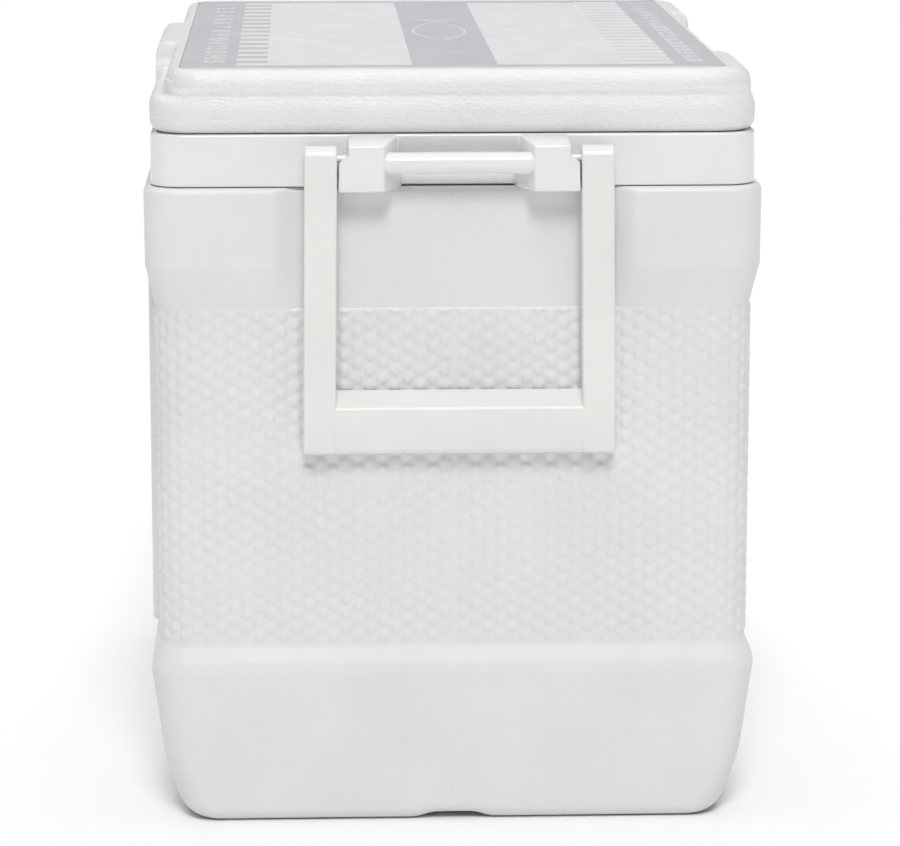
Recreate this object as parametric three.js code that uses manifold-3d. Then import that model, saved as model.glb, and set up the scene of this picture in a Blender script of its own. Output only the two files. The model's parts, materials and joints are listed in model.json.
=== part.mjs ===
// Hard-sided cooler chest with a hinged lid, a bail handle and a tie-down bar at each end,
// and a screw-on drain cap. Millimetres. X runs along the length, -Y is the front, +Z is up,
// and the origin is under the middle of the chest on the surface that it stands on.

import * as THREE from 'three';
import { mergeVertices } from 'three/addons/utils/BufferGeometryUtils.js';
import Module from 'manifold-3d';

const wasm = await Module();
wasm.setup();

// ---------------------------------------------------------------- driving dimensions

const GAP = 0.3; // clearance between pieces that touch

const BODY = {
  halfX: 230, // to the flat of the shoulder band
  halfY: 165,
  cornerRadius: 20,
  panelInset: 5, // the bump-textured panels sit behind the shoulder
  baseInset: 0.6,
  footHalfX: 199,
  footHalfY: 134,
  footRadius: 16,
  channelHalfY: 31, // shallow channel between the two skids
  channelDepth: 5,
};

const LEVEL = {
  footRound: 18.3,
  baseTop: 84,
  panelBottom: 101,
  panelTop: 284,
  shoulderBottom: 307.4,
  shoulderTop: 350.1,
  collarBottom: 350.6,
  collarTop: 378.3,
  lidBottom: 379.6,
  lidStep: 398.4,
  lidTop: 412,
};

const END_RECESS = { floorX: 224.5, floorHalfY: 84, mouthHalfY: 90.5 };

const PLAQUE = { halfX: 176, bottom: 101, top: 300 }; // smooth raised area of the front wall

const COLLAR = { halfX: 226.2, halfY: 161.2, radius: 17, wall: 4, deck: 3.2 };

const INTERIOR = { halfX: 185, halfY: 120, radius: 14, floor: 50, wall: 2.5, flange: 8 };

const HULL = { halfX: 220.5, halfY: 154, lowHalfX: 212, lowHalfY: 148, floor: 9, radius: 14 };

const LID = {
  halfX: 226.6,
  halfY: 161.6,
  radius: 22,
  upperFront: -152.5,
  upperBack: 159.5,
  upperHalfX: 224.4,
  lipHalfX: 66,
  lipFront: -163.2,
  notchHalfX: 129,
  notchWall: 148,
  notchFloor: 396,
  foamTop: 406.6,
  plugDepth: 17,
  plugClearance: 4,
};

const GASKET = { halfX: 191, halfY: 126, radius: 20, width: 14 }; // its inner edge

const RULER = { halfX: 210, halfY: 145, radius: 7, thickness: 0.6, recess: 0.9 };

const HINGE = {
  spacing: 85, // from the middle of the chest to the middle of each hinge
  axisY: 157,
  axisZ: 388,
  knuckleRadius: 4.2,
  boreRadius: 2.2,
  pinRadius: 1.8,
  halfWidth: 25,
  lidKnuckleHalf: 8.6,
  leafThickness: 2.4,
  pocketHalfX: 28,
  screwHoleRadius: 1.6,
  bodyScrewY: 151.6,
  lidScrewZ: 392,
};

const SCREW = { bodyLength: 2.6, lidLength: 2.2, headHeight: 1.6, headRadius: 2.7, shaftRadius: 1.3 };

const BAIL = {
  pivotX: 233.6,
  pivotZ: 366.5,
  hubRadius: 7,
  armWidth: 17.3,
  armInnerTop: 64.3,
  armInnerBottom: 66,
  gripTop: 243,
  gripBottom: 207,
  innerX: 226.6,
  outerX: 240.8,
  pinRadius: 3.4,
  armHalfDepth: 6.8,
  pinInnerY: 50,
  pinOuterY: 79,
};

const BLOCK = {
  innerHalfY: 39.6,
  outerTopHalfY: 58.5,
  outerBottomHalfY: 63.8,
  frontX: 240.4,
  recessX: 220.8,
  flankRun: 9.5,
  topFrontZ: 373.6,
};

const BAR = { x: 234.8, z: 364, radius: 5.8 };

const DRAIN = {
  z: 72,
  pocketRadius: 20,
  pocketX: 219.5,
  tubeRadius: 9.5,
  boreRadius: 7,
  flangeRadius: 14,
  flangeThickness: 2.4,
  nutRadius: 13.5,
  nutThickness: 3.4,
  capRadius: 15,
  capOuterX: 236,
};

const CORNER_STEPS = 5; // facets in each quarter of a rounded rectangle
const ROD_SIDES = 20;

// ---------------------------------------------------------------- materials

const plastic = (color, roughness) =>
  new THREE.MeshStandardMaterial({ color, roughness, metalness: 0 });
const metal = (color, roughness) =>
  new THREE.MeshStandardMaterial({ color, roughness, metalness: 0.95 });

const bodyPlastic = plastic(0xe3e3e5, 0.5);
const collarPlastic = plastic(0xe8e8ea, 0.25);
const lidPlastic = plastic(0xe9e9e9, 0.55);
const handlePlastic = plastic(0xecebe8, 0.35);
const linerPlastic = plastic(0xeeeff0, 0.4);
const foamMaterial = plastic(0xe6d9a8, 0.9);
const rubberMaterial = plastic(0x8f9194, 0.8);
const rulerMaterial = plastic(0xc9cacd, 0.45);
const steel = metal(0xb9bbbd, 0.35);

// ---------------------------------------------------------------- shape helpers

function roundedRectangle(halfX, halfY, radius, z, centreY = 0) {
  const points = [];
  const corners = [[1, 1, 0], [-1, 1, 90], [-1, -1, 180], [1, -1, 270]];
  for (const [sideX, sideY, start] of corners) {
    for (let i = 0; i <= CORNER_STEPS; i += 1) {
      const angle = THREE.MathUtils.degToRad(start + (90 * i) / CORNER_STEPS);
      const x = sideX * (halfX - radius) + radius * Math.cos(angle);
      const y = sideY * (halfY - radius) + radius * Math.sin(angle);
      points.push([x, centreY + y, z]);
    }
  }
  return points;
}

// Skins a stack of rings that have the same number of points. A stack that rises on the
// outside and falls on the inside makes a cup; a closed stack makes a frame.
function loft(rings, closed = false) {
  const count = rings[0].length;
  const position = rings.flat(2);
  const index = [];
  const steps = closed ? rings.length : rings.length - 1;
  for (let r = 0; r < steps; r += 1) {
    const low = r * count;
    const high = ((r + 1) % rings.length) * count;
    for (let i = 0; i < count; i += 1) {
      const next = (i + 1) % count;
      index.push(low + i, low + next, high + next);
      index.push(low + i, high + next, high + i);
    }
  }
  if (!closed) {
    const last = (rings.length - 1) * count;
    for (let i = 1; i < count - 1; i += 1) {
      index.push(0, i + 1, i);
      index.push(last, last + i, last + i + 1);
    }
  }
  const geometry = new THREE.BufferGeometry();
  geometry.setAttribute('position', new THREE.Float32BufferAttribute(position, 3));
  geometry.setIndex(index);
  return geometry;
}

function box(x0, x1, y0, y1, z0, z1) {
  const geometry = new THREE.BoxGeometry(x1 - x0, y1 - y0, z1 - z0);
  return geometry.translate((x0 + x1) / 2, (y0 + y1) / 2, (z0 + z1) / 2);
}

function rodX(radius, x0, x1, y, z, sides = ROD_SIDES) {
  const geometry = new THREE.CylinderGeometry(radius, radius, x1 - x0, sides);
  return geometry.rotateZ(Math.PI / 2).translate((x0 + x1) / 2, y, z);
}

function rodY(radius, y0, y1, x, z, sides = ROD_SIDES) {
  const geometry = new THREE.CylinderGeometry(radius, radius, y1 - y0, sides);
  return geometry.translate(x, (y0 + y1) / 2, z);
}

function rodZ(radius, z0, z1, x, y, sides = ROD_SIDES) {
  const geometry = new THREE.CylinderGeometry(radius, radius, z1 - z0, sides);
  return geometry.rotateX(Math.PI / 2).translate(x, y, (z0 + z1) / 2);
}

// An outline of [x, z] points carried along Y.
function prismY(outline, y0, y1) {
  const shape = new THREE.Shape(outline.map(([x, z]) => new THREE.Vector2(x, z)));
  const geometry = new THREE.ExtrudeGeometry(shape, { depth: y1 - y0, bevelEnabled: false });
  return geometry.rotateX(Math.PI / 2).translate(0, y1, 0);
}

// An outline of [x, y] points carried along Z.
function prismZ(outline, z0, z1) {
  const shape = new THREE.Shape(outline.map(([x, y]) => new THREE.Vector2(x, y)));
  const geometry = new THREE.ExtrudeGeometry(shape, { depth: z1 - z0, bevelEnabled: false });
  return geometry.translate(0, 0, z0);
}

// An outline of [y, z] points carried along X.
function prismX(outline, x0, x1) {
  const shape = new THREE.Shape(outline.map(([y, z]) => new THREE.Vector2(y, z)));
  const geometry = new THREE.ExtrudeGeometry(shape, { depth: x1 - x0, bevelEnabled: false });
  return geometry.rotateX(Math.PI / 2).rotateZ(Math.PI / 2).translate(x0, 0, 0);
}

function toSolid(geometry) {
  const bare = geometry.index ? geometry.toNonIndexed() : geometry.clone();
  bare.deleteAttribute('normal');
  bare.deleteAttribute('uv');
  const merged = mergeVertices(bare, 1e-4);
  const mesh = new wasm.Mesh({
    numProp: 3,
    vertProperties: new Float32Array(merged.attributes.position.array),
    triVerts: new Uint32Array(merged.index.array),
  });
  return new wasm.Manifold(mesh);
}

function toGeometry(solid) {
  const mesh = solid.getMesh();
  const geometry = new THREE.BufferGeometry();
  geometry.setAttribute('position', new THREE.Float32BufferAttribute(mesh.vertProperties, 3));
  geometry.setIndex(Array.from(mesh.triVerts));
  geometry.computeVertexNormals();
  return geometry;
}

function join(...geometries) {
  return toGeometry(geometries.map(toSolid).reduce((whole, next) => whole.add(next)));
}

function cut(base, ...tools) {
  return toGeometry(tools.map(toSolid).reduce((rest, tool) => rest.subtract(tool), toSolid(base)));
}

const bothSides = (make) => [make(1), make(-1)];

// The same piece at the far end: a half turn about Z.
function farEnd(geometry) {
  return geometry.clone().rotateZ(Math.PI);
}

// The mirror image across the XZ plane, with its faces still pointing out.
function reflectY(geometry) {
  const flipped = geometry.index ? geometry.toNonIndexed() : geometry.clone();
  const position = flipped.attributes.position;
  for (let i = 0; i < position.count; i += 3) {
    const points = [0, 2, 1].map((k) => [
      position.getX(i + k),
      -position.getY(i + k),
      position.getZ(i + k),
    ]);
    points.forEach((point, k) => position.setXYZ(i + k, ...point));
  }
  return flipped;
}

// ---------------------------------------------------------------- group

const cooler = new THREE.Group();

function place(name, geometry, material) {
  const mesh = new THREE.Mesh(geometry, material);
  mesh.name = name;
  cooler.add(mesh);
}

// ---------------------------------------------------------------- body shell

function bodyRing(z, inset, radius = BODY.cornerRadius) {
  return roundedRectangle(BODY.halfX - inset, BODY.halfY - inset, radius, z);
}

function hullRing(z, halfX, halfY) {
  return roundedRectangle(halfX, halfY, HULL.radius, z);
}

function outerShell() {
  const base = BODY.baseInset;
  const panel = BODY.panelInset;
  const outside = [
    roundedRectangle(BODY.footHalfX, BODY.footHalfY, BODY.footRadius, 0),
    bodyRing(5.2, 18.5, 22),
    bodyRing(LEVEL.footRound, 12.2, 23),
    bodyRing(36.8, 6.4, 22),
    bodyRing(50, 4.6, 21),
    bodyRing(64, 2.9, 21),
    bodyRing(77, 1.6),
    bodyRing(LEVEL.baseTop, base),
    bodyRing(92, base + 0.8),
    bodyRing(LEVEL.panelBottom, panel),
    bodyRing(LEVEL.panelTop, panel),
    bodyRing(295, panel - 2.2),
    bodyRing(LEVEL.shoulderBottom, 0.2),
    bodyRing(330, 0),
    bodyRing(LEVEL.shoulderTop - 4.5, 0),
    bodyRing(LEVEL.shoulderTop - 1.3, 1.3),
    bodyRing(LEVEL.shoulderTop, 4),
  ];
  const inside = [
    hullRing(LEVEL.shoulderTop, HULL.halfX, HULL.halfY),
    hullRing(LEVEL.baseTop + 8, HULL.halfX, HULL.halfY),
    hullRing(LEVEL.baseTop - 6, HULL.lowHalfX, HULL.lowHalfY),
    hullRing(24, HULL.lowHalfX, HULL.lowHalfY),
    hullRing(HULL.floor, HULL.lowHalfX - 10, HULL.lowHalfY - 10),
  ];
  const shell = loft([...outside, ...inside]);
  const channel = prismX(
    [
      [-BODY.channelHalfY - 5, -1],
      [BODY.channelHalfY + 5, -1],
      [BODY.channelHalfY, BODY.channelDepth],
      [-BODY.channelHalfY, BODY.channelDepth],
    ],
    -BODY.halfX,
    BODY.halfX,
  );
  const endRecesses = bothSides((side) => {
    const outline = [
      [END_RECESS.floorX, -END_RECESS.floorHalfY],
      [BODY.halfX + 1, -END_RECESS.mouthHalfY - 1],
      [BODY.halfX + 1, END_RECESS.mouthHalfY + 1],
      [END_RECESS.floorX, END_RECESS.floorHalfY],
    ];
    const recess = prismZ(outline, LEVEL.panelTop - 20, LEVEL.shoulderTop + 1);
    return side > 0 ? recess : farEnd(recess);
  });
  const drainPocket = rodX(DRAIN.pocketRadius, -BODY.halfX - 1, -DRAIN.pocketX, 0, DRAIN.z, 28);
  const drainHole = rodX(DRAIN.tubeRadius + GAP, -BODY.halfX, -HULL.lowHalfX + 12, 0, DRAIN.z);
  const plaque = box(
    -PLAQUE.halfX,
    PLAQUE.halfX,
    -BODY.halfY + 0.4,
    -BODY.halfY + BODY.panelInset + 1,
    PLAQUE.bottom,
    PLAQUE.top,
  );
  return cut(join(shell, plaque), channel, ...endRecesses, drainPocket, drainHole);
}

// ---------------------------------------------------------------- collar with tie-down bars

function collarRing(z, halfX, halfY, radius) {
  return roundedRectangle(halfX, halfY, radius, z);
}

function barBlock() {
  const depthBehind = COLLAR.halfX - COLLAR.wall + 0.5;
  const profile = [
    [depthBehind, LEVEL.collarBottom],
    [BLOCK.frontX, LEVEL.collarBottom],
    [BLOCK.frontX, BLOCK.topFrontZ - 1.2],
    [BLOCK.frontX - 1.2, BLOCK.topFrontZ],
    [COLLAR.halfX, LEVEL.collarTop - 0.6],
    [depthBehind, LEVEL.collarTop - 0.6],
  ];
  const low = -BLOCK.outerBottomHalfY;
  const slab = prismY(profile, low, -BLOCK.innerHalfY);
  const taper = prismX(
    [
      [low - 1, LEVEL.collarTop + 1],
      [-BLOCK.outerTopHalfY, LEVEL.collarTop + 1],
      [-BLOCK.outerTopHalfY, BAIL.pivotZ - 2],
      [low, LEVEL.collarBottom],
      [low - 1, LEVEL.collarBottom],
    ],
    COLLAR.halfX + 0.5,
    BLOCK.frontX + 1,
  );
  return cut(slab, taper);
}

function rimCollar() {
  const outer = COLLAR;
  const insideHalfX = INTERIOR.halfX + INTERIOR.wall + GAP;
  const insideHalfY = INTERIOR.halfY + INTERIOR.wall + GAP;
  const insideRadius = INTERIOR.radius + INTERIOR.wall;
  const deckUnder = LEVEL.collarTop - outer.deck;
  const hollowHalfX = outer.halfX - outer.wall;
  const hollowHalfY = outer.halfY - outer.wall;
  const frame = loft(
    [
      collarRing(LEVEL.collarBottom, outer.halfX, outer.halfY, outer.radius),
      collarRing(LEVEL.collarTop - 1.5, outer.halfX, outer.halfY, outer.radius),
      collarRing(LEVEL.collarTop, outer.halfX - 1.5, outer.halfY - 1.5, outer.radius - 1.5),
      collarRing(LEVEL.collarTop, insideHalfX, insideHalfY, insideRadius),
      collarRing(deckUnder, insideHalfX, insideHalfY, insideRadius),
      collarRing(deckUnder, hollowHalfX, hollowHalfY, outer.radius - outer.wall),
      collarRing(LEVEL.collarBottom, hollowHalfX, hollowHalfY, outer.radius - outer.wall),
    ],
    true,
  );
  const fingerRecess = prismZ(
    [
      [BLOCK.recessX, -BLOCK.innerHalfY + BLOCK.flankRun],
      [BLOCK.frontX + 1, -BLOCK.innerHalfY],
      [BLOCK.frontX + 1, BLOCK.innerHalfY],
      [BLOCK.recessX, BLOCK.innerHalfY - BLOCK.flankRun],
    ],
    LEVEL.collarBottom - 1,
    LEVEL.collarTop - 1.2,
  );
  const recessBacking = box(
    BLOCK.recessX - 3,
    COLLAR.halfX - 0.5,
    -BLOCK.innerHalfY - 2,
    BLOCK.innerHalfY + 2,
    LEVEL.collarBottom,
    LEVEL.collarTop - 1,
  );
  const block = barBlock();
  const bar = rodY(BAR.radius, -BLOCK.innerHalfY - 3, BLOCK.innerHalfY + 3, BAR.x, BAR.z);
  const bore = rodY(
    BAIL.pinRadius + GAP,
    BAIL.pinInnerY - GAP,
    BAIL.pinOuterY,
    BAIL.pivotX,
    BAIL.pivotZ,
  );
  const solidEnd = join(recessBacking, block, reflectY(block));
  const end = join(cut(solidEnd, fingerRecess, bore, reflectY(bore)), bar);
  const bareFrame = cut(frame, fingerRecess, farEnd(fingerRecess));
  return join(bareFrame, end, farEnd(end));
}

// ---------------------------------------------------------------- liner and insulation

function linerRing(z, grow) {
  const { halfX, halfY, radius } = INTERIOR;
  return roundedRectangle(halfX + grow, halfY + grow, radius + grow, z);
}

function innerLiner() {
  const { wall, flange, floor } = INTERIOR;
  const flangeTop = LEVEL.collarTop - COLLAR.deck - GAP;
  const cup = loft([
    linerRing(floor - wall, wall - 8),
    linerRing(floor + 5, wall),
    linerRing(flangeTop - wall, wall),
    linerRing(flangeTop - wall, wall + flange),
    linerRing(flangeTop, wall + flange),
    linerRing(flangeTop, wall),
    linerRing(LEVEL.collarTop, wall),
    linerRing(LEVEL.collarTop, 0),
    linerRing(floor + 7, 0),
    linerRing(floor, -7),
  ]);
  const drainHole = rodX(
    DRAIN.tubeRadius + GAP,
    -INTERIOR.halfX - 4,
    -INTERIOR.halfX + 4,
    0,
    DRAIN.z,
  );
  return cut(cup, drainHole);
}

function bodyInsulation() {
  const { wall, floor } = INTERIOR;
  const top = LEVEL.collarTop - COLLAR.deck - GAP - wall - GAP;
  const clear = wall + GAP;
  const recessLimit = BLOCK.recessX - 3 - GAP;
  const foam = loft([
    hullRing(HULL.floor + GAP, HULL.lowHalfX - 10.6, HULL.lowHalfY - 10.6),
    hullRing(24.2, HULL.lowHalfX - 0.6, HULL.lowHalfY - 0.6),
    hullRing(LEVEL.baseTop - 6, HULL.lowHalfX - 0.6, HULL.lowHalfY - 0.6),
    hullRing(LEVEL.baseTop + 8.4, HULL.halfX - 0.6, HULL.halfY - 0.6),
    hullRing(LEVEL.shoulderTop - 4, HULL.halfX - 0.6, HULL.halfY - 0.6),
    hullRing(LEVEL.shoulderTop - 1, recessLimit, HULL.halfY - 0.6),
    hullRing(top, recessLimit, HULL.halfY - 0.6),
    linerRing(top, clear),
    linerRing(floor + 5, clear),
    linerRing(floor - clear, clear - 8),
  ]);
  const drainHole = rodX(
    DRAIN.tubeRadius + GAP,
    -HULL.halfX - 4,
    -INTERIOR.halfX + 4,
    0,
    DRAIN.z,
  );
  return cut(foam, drainHole);
}

// ---------------------------------------------------------------- lid

const lidRing = (z, inset, radius = LID.radius) =>
  roundedRectangle(LID.halfX - inset, LID.halfY - inset, radius, z);

function upperTierRing(z, inset, radius = 22) {
  const centre = (LID.upperFront + LID.upperBack) / 2;
  const half = (LID.upperBack - LID.upperFront) / 2;
  return roundedRectangle(LID.upperHalfX - inset, half - inset, radius, z, centre);
}

function lidCavityRing(z, inset = 0) {
  const front = LID.upperFront + 4 + inset;
  const back = LID.notchWall - 4 - inset;
  const half = (back - front) / 2;
  return roundedRectangle(LID.halfX - 6 - inset, half, 14, z, (front + back) / 2);
}

function rulerRing(z, grow = 0) {
  return roundedRectangle(RULER.halfX + grow, RULER.halfY + grow, RULER.radius + grow, z);
}

function lidShell() {
  const lower = loft([
    lidRing(LEVEL.lidBottom, 4.5, 24),
    lidRing(LEVEL.lidBottom + 2, 1.8, 23),
    lidRing(LEVEL.lidBottom + 6, 0.3),
    lidRing(LEVEL.lidBottom + 11, 0),
    lidRing(LEVEL.lidStep - 3, 0.8),
    lidRing(LEVEL.lidStep, 2.4),
  ]);
  const upper = loft([
    upperTierRing(LEVEL.lidStep - 3, 0),
    upperTierRing(LEVEL.lidStep + 5, 0.5),
    upperTierRing(LEVEL.lidTop - 5, 2.2, 20),
    upperTierRing(LEVEL.lidTop - 1.6, 5.6, 18),
    upperTierRing(LEVEL.lidTop, 10.5, 16),
  ]);
  const lip = loft([
    roundedRectangle(LID.lipHalfX, 8, 4, LEVEL.lidBottom + 4, LID.lipFront + 8),
    roundedRectangle(LID.lipHalfX, 8, 4, LEVEL.lidTop - 4, LID.lipFront + 8),
    roundedRectangle(LID.lipHalfX - 2.4, 6, 3, LEVEL.lidTop - 0.8, LID.lipFront + 8.5),
  ]);
  const notch = box(
    -LID.notchHalfX,
    LID.notchHalfX,
    LID.notchWall,
    LID.halfY + 4,
    LID.notchFloor,
    LEVEL.lidTop + 1,
  );
  const pockets = bothSides((side) =>
    box(
      side * HINGE.spacing - HINGE.pocketHalfX,
      side * HINGE.spacing + HINGE.pocketHalfX,
      LID.notchWall,
      LID.halfY + 4,
      LEVEL.lidBottom - 1,
      LID.notchFloor + 1,
    ),
  );
  const cavity = loft([
    lidCavityRing(LEVEL.lidBottom - 1),
    lidCavityRing(LEVEL.lidTop - 8),
    lidCavityRing(LEVEL.lidTop - 4.6, 8),
  ]);
  const rulerRecess = loft([rulerRing(LEVEL.lidTop - RULER.recess, GAP), rulerRing(LEVEL.lidTop + 1, GAP)]);
  return cut(join(lower, upper, lip), notch, ...pockets, cavity, rulerRecess);
}

function plugRing(z, grow) {
  const clear = LID.plugClearance;
  const { halfX, halfY, radius } = INTERIOR;
  return roundedRectangle(halfX - clear + grow, halfY - clear + grow, radius - clear + grow, z);
}

function lidLiner() {
  const bottom = LEVEL.lidBottom + GAP;
  const plate = loft([
    lidCavityRing(bottom, GAP),
    lidCavityRing(bottom + INTERIOR.wall, GAP),
  ]);
  const plugBottom = bottom - LID.plugDepth;
  const plug = loft([
    plugRing(plugBottom, -3),
    plugRing(plugBottom + 3, 0),
    plugRing(bottom + 1, 0),
  ]);
  const hollow = loft([
    plugRing(plugBottom + INTERIOR.wall, -5),
    plugRing(plugBottom + 5, -INTERIOR.wall),
    plugRing(bottom + INTERIOR.wall + 1, -INTERIOR.wall),
  ]);
  return cut(join(plate, plug), hollow);
}

function lidInsulation() {
  const plateTop = LEVEL.lidBottom + INTERIOR.wall + 2 * GAP;
  const plugFloor = LEVEL.lidBottom + GAP - LID.plugDepth + INTERIOR.wall + GAP;
  const shift = -INTERIOR.wall - GAP;
  const low = loft([
    plugRing(plugFloor, -5.4),
    plugRing(plugFloor + 3, shift),
    plugRing(plateTop + 1, shift),
  ]);
  const high = loft([
    lidCavityRing(plateTop, GAP),
    lidCavityRing(LID.foamTop - 3, GAP),
    lidCavityRing(LID.foamTop, 8),
  ]);
  return join(low, high);
}

function lidGasket() {
  const low = LEVEL.collarTop + GAP;
  const high = LEVEL.lidBottom - 0.05;
  const { halfX, halfY, radius, width } = GASKET;
  const inner = (z) => roundedRectangle(halfX, halfY, radius, z);
  const outer = (z) => roundedRectangle(halfX + width, halfY + width, radius + width, z);
  return loft([outer(low), outer(high), inner(high), inner(low)], true);
}

function rulerPanel() {
  const low = LEVEL.lidTop - RULER.recess + GAP;
  return loft([rulerRing(low), rulerRing(low + RULER.thickness)]);
}

// ---------------------------------------------------------------- hinges

function knuckle(x0, x1) {
  const { axisY, axisZ, knuckleRadius } = HINGE;
  return rodX(knuckleRadius, x0, x1, axisY, axisZ);
}

function hingeBore() {
  return rodX(HINGE.boreRadius, -HINGE.halfWidth - 1, HINGE.halfWidth + 1, HINGE.axisY, HINGE.axisZ);
}

const screwOffset = HINGE.halfWidth - 7;
const leafTop = LEVEL.collarTop + GAP + HINGE.leafThickness;
const lidLeafFace = LID.notchWall + GAP + HINGE.leafThickness - 0.4;

function bodyLeaf() {
  const { axisY, axisZ, halfWidth, leafThickness, lidKnuckleHalf } = HINGE;
  const low = LEVEL.collarTop + GAP;
  const plate = box(-halfWidth, halfWidth, LID.notchWall + 0.8, axisY + 2.4, low, low + leafThickness);
  const clearX = lidKnuckleHalf + GAP;
  const webs = bothSides((side) =>
    box(
      side > 0 ? clearX : -halfWidth,
      side > 0 ? halfWidth : -clearX,
      axisY - 2.2,
      axisY + 2.4,
      low + 1,
      axisZ,
    ),
  );
  const knuckles = bothSides((side) =>
    side > 0 ? knuckle(clearX, halfWidth) : knuckle(-halfWidth, -clearX),
  );
  const holes = bothSides((side) =>
    rodZ(HINGE.screwHoleRadius, low - 1, low + 5, side * screwOffset, HINGE.bodyScrewY, 12),
  );
  return cut(join(plate, ...webs, ...knuckles), hingeBore(), ...holes);
}

function lidLeaf() {
  const { axisY, axisZ, halfWidth, leafThickness, lidKnuckleHalf } = HINGE;
  const back = LID.notchWall + GAP;
  const plate = box(-halfWidth, halfWidth, back, back + leafThickness - 0.4, 385.6, 395.6);
  const web = box(-lidKnuckleHalf, lidKnuckleHalf, back + 1, axisY, axisZ - 1.6, axisZ + 3.4);
  const barrel = knuckle(-lidKnuckleHalf, lidKnuckleHalf);
  const holes = bothSides((side) =>
    rodY(HINGE.screwHoleRadius, back - 1, back + 4, side * screwOffset, HINGE.lidScrewZ, 12),
  );
  return cut(join(plate, web, barrel), hingeBore(), ...holes);
}

const hingePin = () =>
  rodX(HINGE.pinRadius, -HINGE.halfWidth + 0.5, HINGE.halfWidth - 0.5, HINGE.axisY, HINGE.axisZ, 16);

function screw(length) {
  const { headHeight, headRadius, shaftRadius } = SCREW;
  const profile = [
    [0, -length],
    [shaftRadius * 0.5, -length],
    [shaftRadius, -length + 2],
    [shaftRadius, 0],
    [headRadius, 0],
    [headRadius, headHeight * 0.45],
    [headRadius * 0.7, headHeight],
    [0, headHeight],
  ];
  const outline = profile.map(([r, z]) => new THREE.Vector2(r, z));
  return new THREE.LatheGeometry(outline, 14).rotateX(Math.PI / 2);
}

// ---------------------------------------------------------------- bail handles

function bailArm() {
  const { pivotX, pivotZ, hubRadius, armWidth, armInnerTop, armInnerBottom, armHalfDepth } = BAIL;
  const bottom = BAIL.gripBottom + 6;
  const flare = armInnerBottom - armInnerTop;
  const section = (z, y) => [
    [pivotX - armHalfDepth, -y, z],
    [pivotX + armHalfDepth, -y, z],
    [pivotX + armHalfDepth, -y - armWidth, z],
    [pivotX - armHalfDepth, -y - armWidth, z],
  ];
  const arm = loft([
    section(bottom, armInnerTop + flare).reverse(),
    section(pivotZ, armInnerTop).reverse(),
  ]);
  const hub = rodY(hubRadius, -armInnerTop - armWidth, -armInnerTop, pivotX, pivotZ, 24);
  return join(arm, hub);
}

function bailHandle() {
  const { innerX, outerX, gripTop, gripBottom, armInnerBottom, armWidth } = BAIL;
  const profile = [
    [innerX + 1.5, gripBottom + 1],
    [outerX - 4, gripBottom],
    [outerX - 1, gripBottom + 2.5],
    [outerX, gripBottom + 8],
    [outerX, gripBottom + 22],
    [outerX - 2.5, gripBottom + 26.5],
    [innerX + 4, gripTop - 1],
    [innerX + 1.5, gripTop],
    [innerX, gripTop - 2],
    [innerX, gripBottom + 4],
  ];
  const reach = armInnerBottom + armWidth - 0.2;
  const grip = prismY(profile, -reach, reach);
  const arm = bailArm();
  const bore = rodY(
    BAIL.pinRadius + GAP,
    -BAIL.pinOuterY - GAP,
    -BAIL.armInnerTop + 1,
    BAIL.pivotX,
    BAIL.pivotZ,
  );
  return cut(join(grip, arm, reflectY(arm)), bore, reflectY(bore));
}

const pivotPin = () =>
  rodY(BAIL.pinRadius, -BAIL.pinOuterY, -BAIL.pinInnerY, BAIL.pivotX, BAIL.pivotZ, 18);

// ---------------------------------------------------------------- drain

const spoutOuterX = DRAIN.pocketX + DRAIN.nutThickness + 6;

function drainSpout() {
  const inner = INTERIOR.halfX - GAP;
  const flange = rodX(
    DRAIN.flangeRadius,
    -inner,
    -inner + DRAIN.flangeThickness,
    0,
    DRAIN.z,
    24,
  );
  const tube = rodX(DRAIN.tubeRadius, -spoutOuterX, -inner + 1, 0, DRAIN.z);
  const bore = rodX(DRAIN.boreRadius, -spoutOuterX - 1, -inner + 6, 0, DRAIN.z);
  return cut(join(flange, tube), bore);
}

function ringX(outerRadius, innerRadius, x0, x1, sides) {
  const outside = rodX(outerRadius, x0, x1, 0, DRAIN.z, sides);
  const inside = rodX(innerRadius, x0 - 1, x1 + 1, 0, DRAIN.z);
  return cut(outside, inside);
}

function drainNut() {
  const inner = -DRAIN.pocketX - GAP;
  return ringX(DRAIN.nutRadius, DRAIN.tubeRadius + GAP, inner - DRAIN.nutThickness, inner, 6);
}

function drainCap() {
  const inner = -DRAIN.pocketX - DRAIN.nutThickness - 2 * GAP;
  const outside = rodX(DRAIN.capRadius, -DRAIN.capOuterX, inner, 0, DRAIN.z, 24);
  const hollow = rodX(DRAIN.tubeRadius + GAP, -spoutOuterX - 2, inner + 1, 0, DRAIN.z);
  const grooves = [];
  const count = 8;
  for (let i = 0; i < count; i += 1) {
    const angle = (2 * Math.PI * (i + 0.5)) / count;
    const y = Math.cos(angle) * (DRAIN.capRadius + 1.2);
    const z = DRAIN.z + Math.sin(angle) * (DRAIN.capRadius + 1.2);
    grooves.push(rodX(3, -DRAIN.capOuterX - 1, -DRAIN.capOuterX + 8, y, z, 10));
  }
  return cut(outside, hollow, ...grooves);
}

function drainWasher() {
  const outer = -spoutOuterX - GAP;
  return ringX(DRAIN.tubeRadius, DRAIN.boreRadius - 2, outer - 1.4, outer, 20);
}

// ---------------------------------------------------------------- assembly

place('outer_shell', outerShell(), bodyPlastic);
place('body_insulation', bodyInsulation(), foamMaterial);
place('inner_liner', innerLiner(), linerPlastic);
place('rim_collar', rimCollar(), collarPlastic);

place('lid_shell', lidShell(), lidPlastic);
place('lid_insulation', lidInsulation(), foamMaterial);
place('lid_liner', lidLiner(), linerPlastic);
place('lid_gasket', lidGasket(), rubberMaterial);
place('ruler_panel', rulerPanel(), rulerMaterial);

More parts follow.
